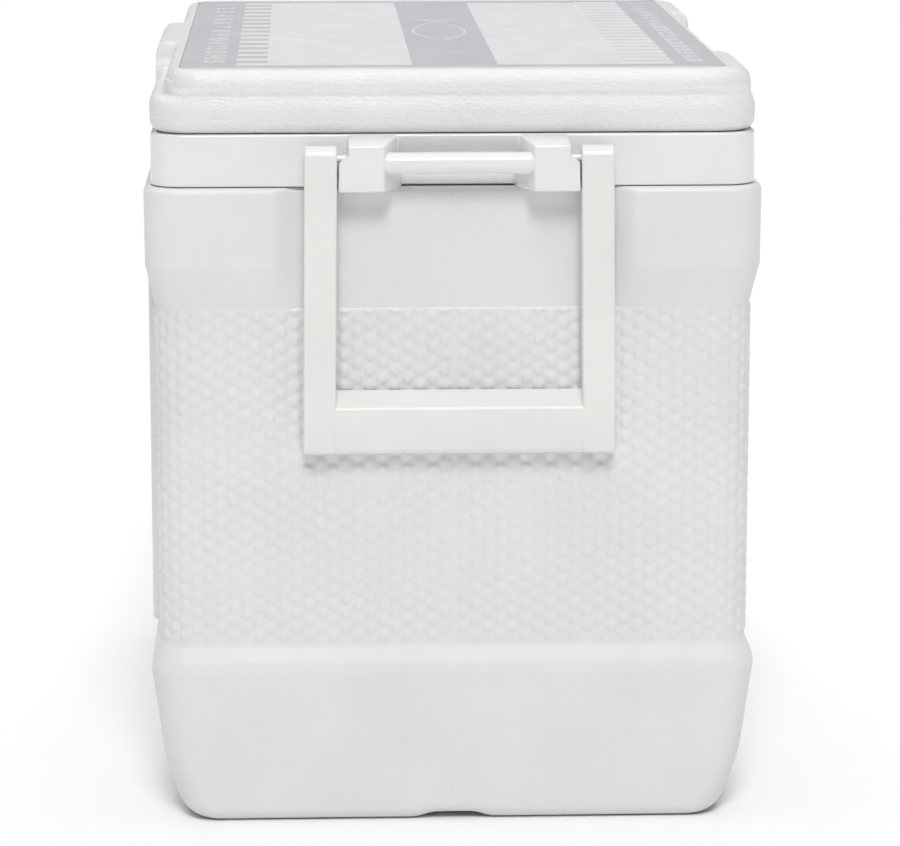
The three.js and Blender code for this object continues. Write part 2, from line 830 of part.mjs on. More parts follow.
for (const [label, side] of [['right', 1], ['left', -1]]) {
  const shiftX = side * HINGE.spacing;
  place(`hinge_body_leaf_${label}`, bodyLeaf().translate(shiftX, 0, 0), steel);
  place(`hinge_lid_leaf_${label}`, lidLeaf().translate(shiftX, 0, 0), steel);
  place(`hinge_pin_${label}`, hingePin().translate(shiftX, 0, 0), steel);
  for (const [part, offset] of [['a', -screwOffset], ['b', screwOffset]]) {
    const bodyScrew = screw(SCREW.bodyLength);
    bodyScrew.translate(shiftX + offset, HINGE.bodyScrewY, leafTop + GAP);
    place(`body_leaf_screw_${label}_${part}`, bodyScrew, steel);
    const lidScrew = screw(SCREW.lidLength).rotateX(-Math.PI / 2);
    lidScrew.translate(shiftX + offset, lidLeafFace + GAP, HINGE.lidScrewZ);
    place(`lid_leaf_screw_${label}_${part}`, lidScrew, steel);
  }
}

for (const [label, toEnd] of [['right', (piece) => piece], ['left', farEnd]]) {
  place(`bail_handle_${label}`, toEnd(bailHandle()), handlePlastic);
  place(`pivot_pin_${label}_front`, toEnd(pivotPin()), handlePlastic);
  place(`pivot_pin_${label}_back`, toEnd(reflectY(pivotPin())), handlePlastic);
}

place('drain_spout', drainSpout(), linerPlastic);
place('drain_nut', drainNut(), linerPlastic);
place('drain_washer', drainWasher(), rubberMaterial);
place('drain_cap', drainCap(), handlePlastic);

export default cooler;
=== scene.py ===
"""A hard-sided cooler chest: a bump-textured body, a glossy rim collar with tie-down bars,
a two-tier lid with a fish ruler, a bail handle at each end, rear hinges and a drain.

Lengths are millimetres until a mesh is made. X runs along the chest, -Y is its front, Z is up."""

import json
import math

import bmesh
import bpy
import numpy as np
from mathutils import Matrix, Vector


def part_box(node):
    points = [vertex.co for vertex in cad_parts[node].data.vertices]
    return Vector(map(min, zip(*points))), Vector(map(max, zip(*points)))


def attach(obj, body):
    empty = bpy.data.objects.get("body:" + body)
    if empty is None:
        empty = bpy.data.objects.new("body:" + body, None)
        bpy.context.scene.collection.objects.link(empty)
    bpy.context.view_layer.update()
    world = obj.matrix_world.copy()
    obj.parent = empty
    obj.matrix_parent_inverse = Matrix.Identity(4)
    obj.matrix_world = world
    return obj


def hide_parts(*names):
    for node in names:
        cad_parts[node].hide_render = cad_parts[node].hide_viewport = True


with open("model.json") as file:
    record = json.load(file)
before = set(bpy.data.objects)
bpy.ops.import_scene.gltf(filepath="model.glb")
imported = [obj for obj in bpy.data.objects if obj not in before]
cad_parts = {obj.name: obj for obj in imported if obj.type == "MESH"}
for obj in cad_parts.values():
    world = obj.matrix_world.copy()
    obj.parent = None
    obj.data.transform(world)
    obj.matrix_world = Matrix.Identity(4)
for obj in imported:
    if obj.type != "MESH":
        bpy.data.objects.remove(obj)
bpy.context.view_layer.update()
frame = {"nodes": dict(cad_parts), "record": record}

MM = 0.001


def extent(node):
    """A CAD node's lowest and highest corner in millimetres."""
    low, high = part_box(node)
    return np.array(low) / MM, np.array(high) / MM


# ---------------------------------------------------------------- driving dimensions

SHELL_HIGH = extent("outer_shell")[1]
COLLAR_LOW, COLLAR_HIGH = extent("rim_collar")
LID_LOW, LID_HIGH = extent("lid_shell")
LINER_LOW, LINER_HIGH = extent("inner_liner")
RULER_LOW, RULER_HIGH = extent("ruler_panel")
BAIL_LOW, BAIL_HIGH = extent("bail_handle_right")

HALF_X, HALF_Y = SHELL_HIGH[0], SHELL_HIGH[1]
CORNER = 20
PANEL_INSET = 5  # the bump panel lies this far inside the shoulder
PANEL_BOTTOM, PANEL_TOP = 101.6, 284.9
SHOULDER_TOP = SHELL_HIGH[2]
RECESS_HALF_Y, RECESS_MOUTH_Y = 79, 95  # the smooth recess behind each bail handle
PLAQUE_HALF_X, PLAQUE_TOP, PLAQUE_INSET = 176, 300, 0.4  # the smooth raised area of the front
CHANNEL_HALF_Y, CHANNEL_DEPTH = 25, 3.2
SIDE_FOOT, END_FOOT = (17.5, 16), (9.5, 8)  # inset and radius of the foot's rounding
FOOT_ROWS = 150
MOULD_LINE = 0.08
DRAIN_Z, DRAIN_POCKET_R, DRAIN_POCKET_INSET = 72, 20, 10.5

CELL = 6.7  # spacing of the bump columns around the body
CELL_STEPS = 8  # mesh steps across one bump's cell
CELL_ROWS, END_CELLS = 22, 25
PLAIN_STRIP = 1.6  # half of the plain strip at the middle of each end
BUMP_HEIGHT = 0.95
BUMP_POINT = 0.13  # extra length at the lower edge
BUMP_RINGS = {0.75: (3.3, 0.05), 0.5: (2.5, 0.62), 0.25: (1.3, 0.92), 0: (0, 1.0)}  # ring: radius, height

COLLAR_HALF_X, COLLAR_HALF_Y, COLLAR_CORNER = 226.2, 161.2, 17
MOUTH_HALF_X, MOUTH_CORNER = 187.8, 16.8
COLLAR_BOTTOM, COLLAR_TOP = COLLAR_LOW[2], COLLAR_HIGH[2]
COLLAR_DECK, COLLAR_WALL = 3.2, 10
FINGER_HALF_Y, FINGER_DEPTH = 30.1, 5.4  # the hollow in the collar behind each tie-down bar
BLOCK_FRONT = 240.4
BLOCK_INNER_Y, BLOCK_TOP_Y, BLOCK_BOTTOM_Y = 39.6, 58.5, 63.8
BLOCK_FRONT_TOP, BLOCK_BOTTOM = 373.6, 349.2
BAR_X, BAR_Z, BAR_R = 234.8, 364, 5.8
END_SHIFT = 2.2  # the handles and their blocks sit this far behind the middle

LID_HALF_X, LID_HALF_Y, LID_CORNER = 226.6, 161.6, 22
UPPER_CORNER = 28  # corner radius of the upper tier
SKIRT_ROWS, LOWER_ROWS, UPPER_ROWS = 14, 34, 40
LID_BOTTOM, LID_STEP, LID_TOP = LID_LOW[2], 398.4, LID_HIGH[2]
UPPER_FRONT, UPPER_BACK, UPPER_END = 9.1, 2.1, 1.8  # how far the upper tier is set in
LIP_HALF_X, LIP_PROUD = 66, 1.6
NOTCH_HALF_X, NOTCH_INSET, NOTCH_FLOOR = 129, 13.6, 396
HINGE_X, POCKET_HALF_X = 85, 28

RULER_HALF_X, RULER_HALF_Y = RULER_HIGH[0], RULER_HIGH[1]
RULER_TOP, RULER_CORNER, RULER_RECESS = RULER_HIGH[2], 7, 0.9
INCH, TWO_CM = 25.4, 20
INCH_NUMBERS_Y = -128
INCH_NUMBER, CM_NUMBER = 11, 8.5
INCH_BARS = (-115.4, -98.8)
WHITE_ZONE_FRONT = (-98.8, -21.4)
WHITE_ZONE_BACK = (24.4, 119.2)
CM_NUMBERS_Y = 131
END_MARGIN = 13
TICK_LENGTH, TICK_GAP, HAIRLINE = 26, 3.4, 0.5
MARK_LOW, MARK_HIGH = RULER_TOP - 0.05, RULER_TOP + 0.03  # the print is this thick

LINER_HALF_X, LINER_HALF_Y, LINER_CORNER, LINER_WALL = 185, 120, 14, 2.5
PLUG_CLEARANCE, PLATE_CORNER = 4, 13  # the pan under the lid
GASKET_WIDTH, GASKET_CORNER = 14, 34

BAIL_PIVOT_X, BAIL_PIVOT_Z = 233.6, 366.5
BAIL_HUB_R, BAIL_ARM_WIDTH, PIN_R = 7, 17.3, 1.7
BAIL_ARM_TOP_Y, BAIL_ARM_BOTTOM_Y = 64.3, 66
BAIL_BOTTOM, BAIL_GRIP_TOP = BAIL_LOW[2], 243
BAIL_INNER_X, BAIL_OUTER_X = BAIL_LOW[0], BAIL_HIGH[0]


# ---------------------------------------------------------------- curves and profiles


def smooth(low, high, x):
    """0 below low, 1 above high and an S-curve between."""
    t = np.clip((x - low) / (high - low), 0, 1)
    return t * t * (3 - 2 * t)


def rounded(corners, closed=False, arc_step=12):
    """The polyline through (a, b, radius) corners, with each radius as a run of short chords."""
    path = []
    count = len(corners)
    for i, (a, b, radius) in enumerate(corners):
        here = np.array([a, b], float)
        if radius == 0 or (not closed and i in (0, count - 1)):
            path.append(here)
            continue
        back = np.array(corners[i - 1][:2], float) - here
        ahead = np.array(corners[(i + 1) % count][:2], float) - here
        back /= np.linalg.norm(back)
        ahead /= np.linalg.norm(ahead)
        half = math.acos(np.clip(back @ ahead, -1, 1)) / 2
        turn = math.pi - 2 * half
        reach = radius / math.tan(half)
        middle = (back + ahead) / np.linalg.norm(back + ahead)
        centre = here + middle * radius / math.sin(half)
        first = here + back * reach - centre
        last = here + ahead * reach - centre
        steps = max(2, math.ceil(math.degrees(turn) / arc_step))
        for k in range(steps + 1):
            angle = turn * k / steps
            path.append(centre + (math.sin(turn - angle) * first + math.sin(angle) * last) / math.sin(turn))
    return np.array(path)


def divided(path, step):
    """The same polyline with no chord longer than step."""
    points = [path[0]]
    for a, b in zip(path[:-1], path[1:]):
        count = max(1, math.ceil(np.linalg.norm(b - a) / step - 1e-6))
        points += [a + (b - a) * k / count for k in range(1, count + 1)]
    return np.array(points)


def resampled(path, count):
    """The same polyline with that many points, evenly spaced along it."""
    length = np.concatenate([[0], np.cumsum(np.linalg.norm(np.diff(path, axis=0), axis=1))])
    at = np.linspace(0, length[-1], count)
    return np.stack([np.interp(at, length, path[:, k]) for k in range(path.shape[1])], axis=1)


def stations(breaks):
    """Distances along a line from (end, step) pairs: each stretch is cut evenly at about that step."""
    out = [0.0]
    for end, step in breaks:
        count = max(1, round((end - out[-1]) / step))
        out += list(np.linspace(out[-1], end, count + 1)[1:])
    return np.array(out)


# ---------------------------------------------------------------- skins around a rounded rectangle


class Plan:
    """Columns of points around a rounded rectangle, counter-clockwise from the middle of the right end.

    back and front are distances from the middle of an end to the middle of a long side, so the
    two ends mirror each other. u and v place a column's corner centre, nx and ny point outwards,
    and sense says which way along the outline the distance grows."""

    def __init__(self, half_x, half_y, radius, back, front=None):
        front = back if front is None else front
        quarters = [(back, 1, 1), (back[::-1], -1, 1), (front, -1, -1), (front[::-1], 1, -1)]
        rows = []
        for distances, side_x, side_y in quarters:
            for s in distances[:-1]:
                u, v, nx, ny = self.place(s, half_x - radius, half_y - radius, radius)
                rows.append((u * side_x, v * side_y, nx * side_x, ny * side_y, side_x * side_y, s))
        self.u, self.v, self.nx, self.ny, self.sense, self.s = np.array(rows).T
        self.x = self.u * (half_x - radius) + radius * self.nx
        self.y = self.v * (half_y - radius) + radius * self.ny

    @staticmethod
    def place(s, run_x, run_y, radius):
        if s <= run_y:
            return 1, s / run_y, 1, 0
        turn = (s - run_y) / radius
        if turn < math.pi / 2:
            return 1, 1, math.cos(turn), math.sin(turn)
        return 1 - (s - run_y - radius * math.pi / 2) / run_x, 1, 0, 1

    @staticmethod
    def quarter(half_x, half_y, radius):
        return half_x + half_y - 2 * radius + radius * math.pi / 2


def even_plan(half_x, half_y, radius, side_step, turn_step):
    """A plan with even columns along the sides and closer ones around the corners."""
    turn_start = half_y - radius
    turn_end = turn_start + radius * math.pi / 2
    quarter = Plan.quarter(half_x, half_y, radius)
    columns = stations([(turn_start, side_step), (turn_end, turn_step), (quarter, side_step)])
    return Plan(half_x, half_y, radius, columns)


def skin_points(plan, half_x, half_y, rows, extra=0, slide=0, lift=0):
    """rows are (inset, z, corner radius). extra moves points inwards, slide along the outline, lift up."""
    inset, z, radius = (rows[:, k][:, None] for k in range(3))
    x = plan.u * (half_x - inset - radius) + (radius - extra) * plan.nx - slide * plan.sense * plan.ny
    y = plan.v * (half_y - inset - radius) + (radius - extra) * plan.ny + slide * plan.sense * plan.nx
    return np.stack([x, y, np.broadcast_to(z + lift, x.shape)], axis=2)


def new_object(name, mesh):
    piece = bpy.data.objects.new(name, mesh)
    bpy.context.scene.collection.objects.link(piece)
    return piece


def grid_object(name, points, closed=False):
    """A skin through points[row, column] in millimetres. An open stack of rows gets a fan at each end."""
    rows, count = points.shape[:2]
    row = np.arange(rows if closed else rows - 1)[:, None]
    column = np.arange(count)[None, :]
    above, beside = (row + 1) % rows, (column + 1) % count
    corners = [row * count + column, row * count + beside, above * count + beside, above * count + column]
    quads = np.stack(corners, axis=2).reshape(-1, 4)
    vertices = points.reshape(-1, 3)
    loops, sizes = [quads.reshape(-1)], [np.full(len(quads), 4)]
    if not closed:
        hubs = [points[0].mean(axis=0), points[-1].mean(axis=0)]
        vertices = np.vstack([vertices, hubs])
        ring, after = column[0], beside[0]
        low_hub, high_hub = rows * count, rows * count + 1
        last = (rows - 1) * count
        loops.append(np.stack([np.full(count, low_hub), after, ring], axis=1).reshape(-1))
        loops.append(np.stack([np.full(count, high_hub), last + ring, last + after], axis=1).reshape(-1))
        sizes.append(np.full(2 * count, 3))
    loops, sizes = np.concatenate(loops), np.concatenate(sizes)
    mesh = bpy.data.meshes.new(name)
    mesh.vertices.add(len(vertices))
    mesh.vertices.foreach_set("co", (vertices * MM).astype(np.float32).reshape(-1))
    mesh.loops.add(len(loops))
    mesh.loops.foreach_set("vertex_index", loops.astype(np.int32))
    mesh.polygons.add(len(sizes))
    mesh.polygons.foreach_set("loop_start", np.concatenate([[0], np.cumsum(sizes)[:-1]]).astype(np.int32))
    mesh.polygons.foreach_set("loop_total", sizes.astype(np.int32))
    mesh.update(calc_edges=True)
    mesh.shade_smooth()
    mesh.set_sharp_from_angle(angle=math.radians(50))
    return new_object(name, mesh)


# ---------------------------------------------------------------- small solids


def add_loft(bm, rings):
    """A closed solid through rings of points that match one to one."""
    verts = [[bm.verts.new(point) for point in ring] for ring in rings]
    faces = [bm.faces.new(verts[0]), bm.faces.new(verts[-1][::-1])]
    count = len(verts[0])
    for low, high in zip(verts[:-1], verts[1:]):
        for i in range(count):
            j = (i + 1) % count
            faces.append(bm.faces.new([low[j], low[i], high[i], high[j]]))
    bmesh.ops.recalc_face_normals(bm, faces=faces)


def add_plate(bm, outline, low, high):
    """A flat plate from an [x, y] outline."""
    add_loft(bm, [[(x, y, z) for x, y in outline] for z in (low, high)])


def bevel_sharp(bm, width, segments=4, angle=35):
    """Rounds every edge that turns by more than angle degrees."""
    edges = [e for e in bm.edges if len(e.link_faces) == 2 and e.calc_face_angle(0) > math.radians(angle)]
    bmesh.ops.bevel(
        bm, geom=edges, offset=width, segments=segments, profile=0.5, affect="EDGES", clamp_overlap=True
    )


def add_lathe(bm, profile, centre, axis="y", sides=64):
    """A turned solid from (radius, along) points, which start and end on the axis."""
    rings = []
    for radius, along in profile:
        ring = []
        for k in range(sides if radius > 1e-6 else 1):
            angle = 2 * math.pi * k / sides
            a, b = radius * math.cos(angle), radius * math.sin(angle)
            offset = {"x": (along, a, b), "y": (b, along, a), "z": (a, b, along)}[axis]
            ring.append(bm.verts.new(Vector(centre) + Vector(offset)))
        rings.append(ring)
    faces = []
    for low, high in zip(rings[:-1], rings[1:]):
        for k in range(sides):
            j = (k + 1) % sides
            loop = [low[k % len(low)], low[j % len(low)], high[j % len(high)], high[k % len(high)]]
            unique = list(dict.fromkeys(loop))
            if len(unique) > 2:
                faces.append(bm.faces.new(unique))
    bmesh.ops.recalc_face_normals(bm, faces=faces)


def mesh_object(name, bm, sharp=40, weighted=True):
    bmesh.ops.scale(bm, vec=(MM, MM, MM), verts=bm.verts)
    mesh = bpy.data.meshes.new(name)
    bm.to_mesh(mesh)
    bm.free()
    mesh.shade_smooth()
    mesh.set_sharp_from_angle(angle=math.radians(sharp))
    piece = new_object(name, mesh)
    if weighted:
        normals = piece.modifiers.new("weighted_normals", "WEIGHTED_NORMAL")
        normals.keep_sharp = True
    return piece


# ---------------------------------------------------------------- node materials


class Shader:
    """A Principled material and short ways to add the nodes that feed it."""

    def __init__(self, name, roughness, **sockets):
        self.material = bpy.data.materials.new(name)
        self.material.use_nodes = True
        self.tree = self.material.node_tree
        self.principled = self.tree.nodes["Principled BSDF"]
        self.principled.inputs["Roughness"].default_value = roughness
        for socket, value in sockets.items():
            self.principled.inputs[socket].default_value = value
        self.coordinates = self.tree.nodes.new("ShaderNodeTexCoord").outputs["Object"]

    def node(self, kind, **inputs):
        made = self.tree.nodes.new(kind)
        for name, value in inputs.items():
            self.feed(made.inputs[name.replace("_", " ")], value)
        return made

    def feed(self, socket, value):
        if isinstance(value, bpy.types.NodeSocket):
            self.tree.links.new(value, socket)
        else:
            socket.default_value = value

    def noise(self, size, detail=3, roughness=0.55, vector=None, distortion=0):
        """Noise with features of about that size in millimetres."""
        made = self.node(
            "ShaderNodeTexNoise",
            Vector=vector or self.coordinates,
            Scale=1 / (size * MM),
            Detail=detail,
            Roughness=roughness,
            Distortion=distortion,
        )
        return made.outputs["Fac"]

    def ramp(self, value, low, high, to_low=0.0, to_high=1.0):
        made = self.node("ShaderNodeMapRange", Value=value)
        for name, number in zip(("From Min", "From Max", "To Min", "To Max"), (low, high, to_low, to_high)):
            made.inputs[name].default_value = number
        return made.outputs["Result"]

    def mix(self, factor, first, second):
        made = self.tree.nodes.new("ShaderNodeMix")
        made.data_type = "RGBA"
        self.feed(made.inputs["Factor"], factor)
        self.feed(made.inputs[6], first)
        self.feed(made.inputs[7], second)
        return made.outputs[2]

    def color(self, value):
        self.feed(self.principled.inputs["Base Color"], value)

    def roughness(self, value):
        self.feed(self.principled.inputs["Roughness"], value)

    def bump(self, height, depth, strength=1.0):
        """A bump of that depth in millimetres, on top of any bump made before."""
        made = self.node("ShaderNodeBump", Height=height)
        made.inputs["Distance"].default_value = depth * MM
        made.inputs["Strength"].default_value = strength
        if self.principled.inputs["Normal"].is_linked:
            self.feed(made.inputs["Normal"], self.principled.inputs["Normal"].links[0].from_socket)
        self.feed(self.principled.inputs["Normal"], made.outputs["Normal"])


def tone(color, factor):
    return (*(channel * factor for channel in color), 1)


def moulded_plastic(
    name, color, roughness, grain=1.2, grain_depth=0.02, mottle=0.04, specks=0.5, **sockets
):
    """Injection-moulded plastic: clouding in the colour, a few specks of dirt and a fine moulded grain."""
    shader = Shader(name, roughness, **sockets)
    clouds = shader.ramp(shader.noise(60, detail=5), 0.3, 0.7)
    base = shader.mix(clouds, tone(color, 1 - mottle), tone(color, 1 + mottle / 2))
    speckle = shader.ramp(shader.noise(1.6, detail=1), 0.79, 0.83, 0, specks)
    base = shader.mix(speckle, base, tone(color, 0.55))
    shader.color(base)
    shader.roughness(shader.ramp(shader.noise(18, detail=4), 0.3, 0.7, roughness * 0.88, roughness * 1.12))
    shader.bump(shader.noise(grain, detail=2), grain_depth)
    return shader


def body_material():
    color = (0.755, 0.757, 0.775)
    return moulded_plastic("body_plastic", color, 0.42, grain=2.2, grain_depth=0.03).material


def collar_material():
    color = (0.80, 0.80, 0.815)
    sockets = {"Coat Weight": 0.35, "Coat Roughness": 0.08}
    made = moulded_plastic("collar_plastic", color, 0.22, grain=9, grain_depth=0.03, mottle=0.03, **sockets)
    return made.material


def lid_material():
    """Leather-grained plastic: long raised pebbles with fine creases between them."""
    color = (0.80, 0.80, 0.80)
    shader = moulded_plastic("lid_plastic", color, 0.45, grain=1.1, grain_depth=0.03)
    warp = shader.node("ShaderNodeVectorMath")
    warp.operation = "MULTIPLY_ADD"
    wobble = shader.node("ShaderNodeTexNoise", Vector=shader.coordinates, Scale=1 / (4 * MM))
    shader.feed(warp.inputs[0], wobble.outputs["Color"])
    warp.inputs[1].default_value = (0.0016,) * 3
    shader.feed(warp.inputs[2], shader.coordinates)
    stretched = shader.node("ShaderNodeMapping", Vector=warp.outputs[0])
    stretched.inputs["Scale"].default_value = (0.55, 0.55, 1.3)
    for size, depth in ((3.2, 0.17), (1.7, 0.09)):
        cells = shader.node("ShaderNodeTexVoronoi", Vector=stretched.outputs[0], Scale=1 / (size * MM))
        cells.feature = "DISTANCE_TO_EDGE"
        shader.bump(shader.ramp(cells.outputs["Distance"], 0, 0.28), depth)
    return shader.material


def handle_material():
    color = (0.80, 0.795, 0.775)
    return moulded_plastic("handle_plastic", color, 0.34, grain=3, grain_depth=0.015, specks=0.3).material


def liner_material():
    color = (0.83, 0.84, 0.845)
    return moulded_plastic("liner_plastic", color, 0.3, grain=14, grain_depth=0.03, specks=0.06).material


def foam_material():
    shader = Shader("foam", 0.9)
    pores = shader.noise(1.4, detail=2)
    yellow = (0.66, 0.53, 0.26)
    shader.color(shader.mix(shader.ramp(pores, 0.35, 0.65), tone(yellow, 0.8), tone(yellow, 1.08)))
    shader.bump(pores, 0.4)
    return shader.material


def rubber_material():
    shader = Shader("seal_rubber", 0.7)
    bloom = shader.ramp(shader.noise(12, detail=4), 0.35, 0.7)
    shader.color(shader.mix(bloom, tone((0.22, 0.225, 0.23), 1), tone((0.3, 0.305, 0.31), 1)))
    shader.roughness(shader.ramp(bloom, 0, 1, 0.6, 0.8))
    shader.bump(shader.noise(0.7, detail=2), 0.03)
    return shader.material


def steel_material():
    """Stainless steel brushed along X, with faint water marks."""
    shader = Shader("hinge_steel", 0.3, Metallic=1.0)
    mapping = shader.node("ShaderNodeMapping", Vector=shader.coordinates)
    mapping.inputs["Scale"].default_value = (0.04, 1, 1)
    brushing = shader.noise(0.35, detail=3, vector=mapping.outputs["Vector"])
    marks = shader.ramp(shader.noise(9, detail=4), 0.4, 0.7)
    steel = (0.62, 0.62, 0.63)
    shader.color(shader.mix(marks, tone(steel, 1), tone(steel, 0.86)))
    shader.roughness(shader.ramp(brushing, 0.3, 0.7, 0.24, 0.42))
    shader.bump(brushing, 0.012)
    return shader.material


def ruler_material():
    """The grey printed film, slightly uneven in its ink."""
    grey = (0.63, 0.635, 0.665)
    made = moulded_plastic("ruler_grey", grey, 0.38, grain=2.6, grain_depth=0.02, mottle=0.05, specks=0.25)
    return made.material


def print_material():
    white = (0.87, 0.875, 0.885)
    made = moulded_plastic("ruler_white", white, 0.38, grain=2.6, grain_depth=0.02, mottle=0.03, specks=0.2)
    return made.material


MATERIALS = {
    "body_plastic": body_material(),
    "collar_plastic": collar_material(),
    "lid_plastic": lid_material(),
    "handle_plastic": handle_material(),
    "liner_plastic": liner_material(),
    "foam": foam_material(),
    "seal_rubber": rubber_material(),
    "ruler_print": ruler_material(),
    "hinge_steel": steel_material(),
}
RULER_WHITE = print_material()


def finish_piece(piece, body, slot, replaced=(), material=None):
    """Gives a piece its material, the body that it rides on and the nodes that it stands for."""
    piece.data.materials.append(material or MATERIALS[slot])
    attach(piece, body)
    if replaced:
        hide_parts(*replaced)
    return piece


# ---------------------------------------------------------------- body shell


def cell_edges(quarter):
    """Borders of the bump cells, from the middle of an end to the middle of a long side."""
    first = PLAIN_STRIP + CELL * np.arange(END_CELLS + 1)
    rest = quarter - PLAIN_STRIP - first[-1]
    side_cells = round(rest / CELL)
    return np.concatenate([first, first[-1] + rest * np.arange(1, side_cells + 1) / side_cells])


def body_columns():
    """Column distances for the back and the front, with eight to a bump cell and few on the plaque."""
    half_x, half_y = HALF_X - PANEL_INSET, HALF_Y - PANEL_INSET
    quarter = Plan.quarter(half_x, half_y, CORNER)
    edges = cell_edges(quarter)
    strip = [0, 0.35, 0.7]
    cells = [np.linspace(a, b, CELL_STEPS + 1)[:-1] for a, b in zip(edges[:-1], edges[1:])]
    back = np.concatenate([strip, *cells, [edges[-1], quarter - 0.7, quarter - 0.35, quarter]])
    plaque_at = quarter - PLAQUE_HALF_X
    kept = [c for c, b in zip(cells, edges[1:]) if b < plaque_at - 3]
    start = edges[len(kept)]
    edge_zone = np.linspace(start, plaque_at + 3, 13)
    plain = np.linspace(plaque_at + 3, quarter, 22)[1:]
    front = np.concatenate([strip, *kept, edge_zone, plain])
    return Plan(half_x, half_y, CORNER, back, front), edges


def bump_field(plan, edges, row_count, pitch):
    """How far each point of the panel moves outwards, along and up, to form the raised bumps.

    Every bump has its own cell of the mesh. Rings of the cell's grid are pulled into circles, so
    each bump is round. Columns alternate by half a row."""
    cell = np.searchsorted(edges, plan.s + 1e-6) - 1
    inside = (cell >= 0) & (cell < len(edges) - 1)
    cell = np.clip(cell, 0, len(edges) - 2)
    width = edges[cell + 1] - edges[cell]
    a = (2 * (plan.s - edges[cell]) / width - 1)[None, :] + np.zeros((row_count, 1))
    row = np.arange(row_count)[::-1][:, None]  # counted down from the top of the panel
    shifted = row + np.where(cell % 2 == 0, CELL_STEPS // 2, 0)
    b = (shifted % CELL_STEPS) / (CELL_STEPS / 2) - 1
    last_full = shifted // CELL_STEPS < (row_count - 1) // CELL_STEPS
    plaque = (plan.ny < -0.5) & (np.abs(plan.x) < PLAQUE_HALF_X + 2)
    active = inside[None, :] & ~plaque[None, :] & last_full & (row > 0)
    ring = np.maximum(np.abs(a), np.abs(b))
    known = np.array(sorted(BUMP_RINGS))
    radius = np.interp(ring, known, [BUMP_RINGS[k][0] for k in known])
    height = np.interp(ring, [*known, 1], [*(BUMP_RINGS[k][1] for k in known), 0])
    angle = np.arctan2(b, a)
    point = 1 + BUMP_POINT * np.clip(np.sin(angle), 0, 1) ** 6
    active &= ring < 0.99
    slide = np.where(active, radius * np.cos(angle) - a * width / 2, 0)
    lift = np.where(active, -radius * point * np.sin(angle) + b * pitch * CELL_STEPS / 2, 0)
    return np.where(active, -BUMP_HEIGHT * height, 0), slide, lift


def foot_rows(inset, radius):
    """The profile from under the base up to the panel, for a foot rounded by that radius."""
    return resampled(rounded([
        (60, 0, 0), (inset, 0, radius), (7.2, 33, 50), (0.6, 85.5, 6), (1.1, 91, 5),
        (PANEL_INSET, PANEL_BOTTOM - 1.2, 3), (PANEL_INSET, PANEL_BOTTOM, 0),
    ]), FOOT_ROWS)


def body_rows():
    """Profile rows from under the base, up the outside and down the inside, and where the bumps lie."""
    below = foot_rows(*SIDE_FOOT)
    bump_rows = CELL_STEPS * CELL_ROWS + 1
    pitch = (PANEL_TOP - PANEL_BOTTOM) / (bump_rows - 1)
    panel = np.stack([np.full(bump_rows, PANEL_INSET), PANEL_BOTTOM + pitch * np.arange(bump_rows)], axis=1)
    above = rounded([
        (PANEL_INSET, PANEL_TOP, 0), (PANEL_INSET, PANEL_TOP + 0.6, 2), (0.2, 307.4, 9),
        (0, SHOULDER_TOP, 3.6), (10, SHOULDER_TOP, 0),
    ])
    above = divided(above, 4)
    inside = rounded([(10, SHOULDER_TOP, 0), (10, 102, 0), (17, 88, 0), (17, 24, 8), (27, 9, 0)])
    rows = np.vstack([below, panel[1:], above[1:], inside[1:]])
    first = len(below) - 1
    corner = np.where(np.arange(len(rows)) >= len(rows) - len(inside), CORNER - 8, CORNER)
    return np.column_stack([rows, corner]), first, bump_rows, pitch


def outer_shell():
    """The body: its profile all round, then bumps, end recesses, plaque, drain pocket and arches."""
    plan, edges = body_columns()
    rows, first, bump_rows, pitch = body_rows()
    inset, z = rows[:, :1], rows[:, 1:2]
    shape = (len(rows), len(plan.s))
    extra, slide, lift = np.zeros(shape), np.zeros(shape), np.zeros(shape)
    foot = foot_rows(*END_FOOT) - foot_rows(*SIDE_FOOT)
    extra[: len(foot)] = foot[:, :1] * plan.nx ** 2
    lift[: len(foot)] = foot[:, 1:] * plan.nx ** 2
    field = slice(first, first + bump_rows)
    extra[field], slide[field], lift[field] = bump_field(plan, edges, bump_rows, pitch)
    outside = (np.arange(len(rows)) < len(rows) - 7)[:, None]
    end = np.abs(plan.nx) > 0.99
    y = np.abs(plan.y)
    in_recess = end * (1 - smooth(RECESS_HALF_Y, RECESS_MOUTH_Y, y)) * smooth(PANEL_TOP, PANEL_TOP + 0.5, z)
    depth = np.where(z < SHOULDER_TOP - 6, PANEL_INSET + 0.5 - inset, PANEL_INSET + 0.5)
    extra += in_recess * depth * outside
    in_plaque = (plan.ny < -0.99) * (1 - smooth(PLAQUE_HALF_X - 2.5, PLAQUE_HALF_X, np.abs(plan.x)))
    in_plaque = in_plaque * smooth(PANEL_BOTTOM, PANEL_BOTTOM + 3, z)
    extra -= in_plaque * np.clip(inset - PLAQUE_INSET, 0, None) * (z < PLAQUE_TOP) * outside
    extra -= MOULD_LINE * (plan.s < 0.4) * (z > 20) * outside
    from_drain = np.hypot(plan.y * (HALF_Y - CORNER - inset) / (HALF_Y - CORNER - PANEL_INSET), z - DRAIN_Z)
    drain_end = plan.nx < -0.99
    pocket = drain_end * (1 - smooth(DRAIN_POCKET_R - 1.5, DRAIN_POCKET_R, from_drain)) * outside
    extra += pocket * (DRAIN_POCKET_INSET - inset)
    arch = np.clip(1 - np.abs(plan.y) / CHANNEL_HALF_Y, 0, 1)
    channel = smooth(0, 1, arch * 1.7) * 0.85 + 0.15 * arch
    lift += CHANNEL_DEPTH * channel * (1 - smooth(0, 26, z)) * outside * (np.abs(plan.nx) > 0.5)
    return grid_object("outer_shell_moulding", skin_points(plan, HALF_X, HALF_Y, rows, extra, slide, lift))


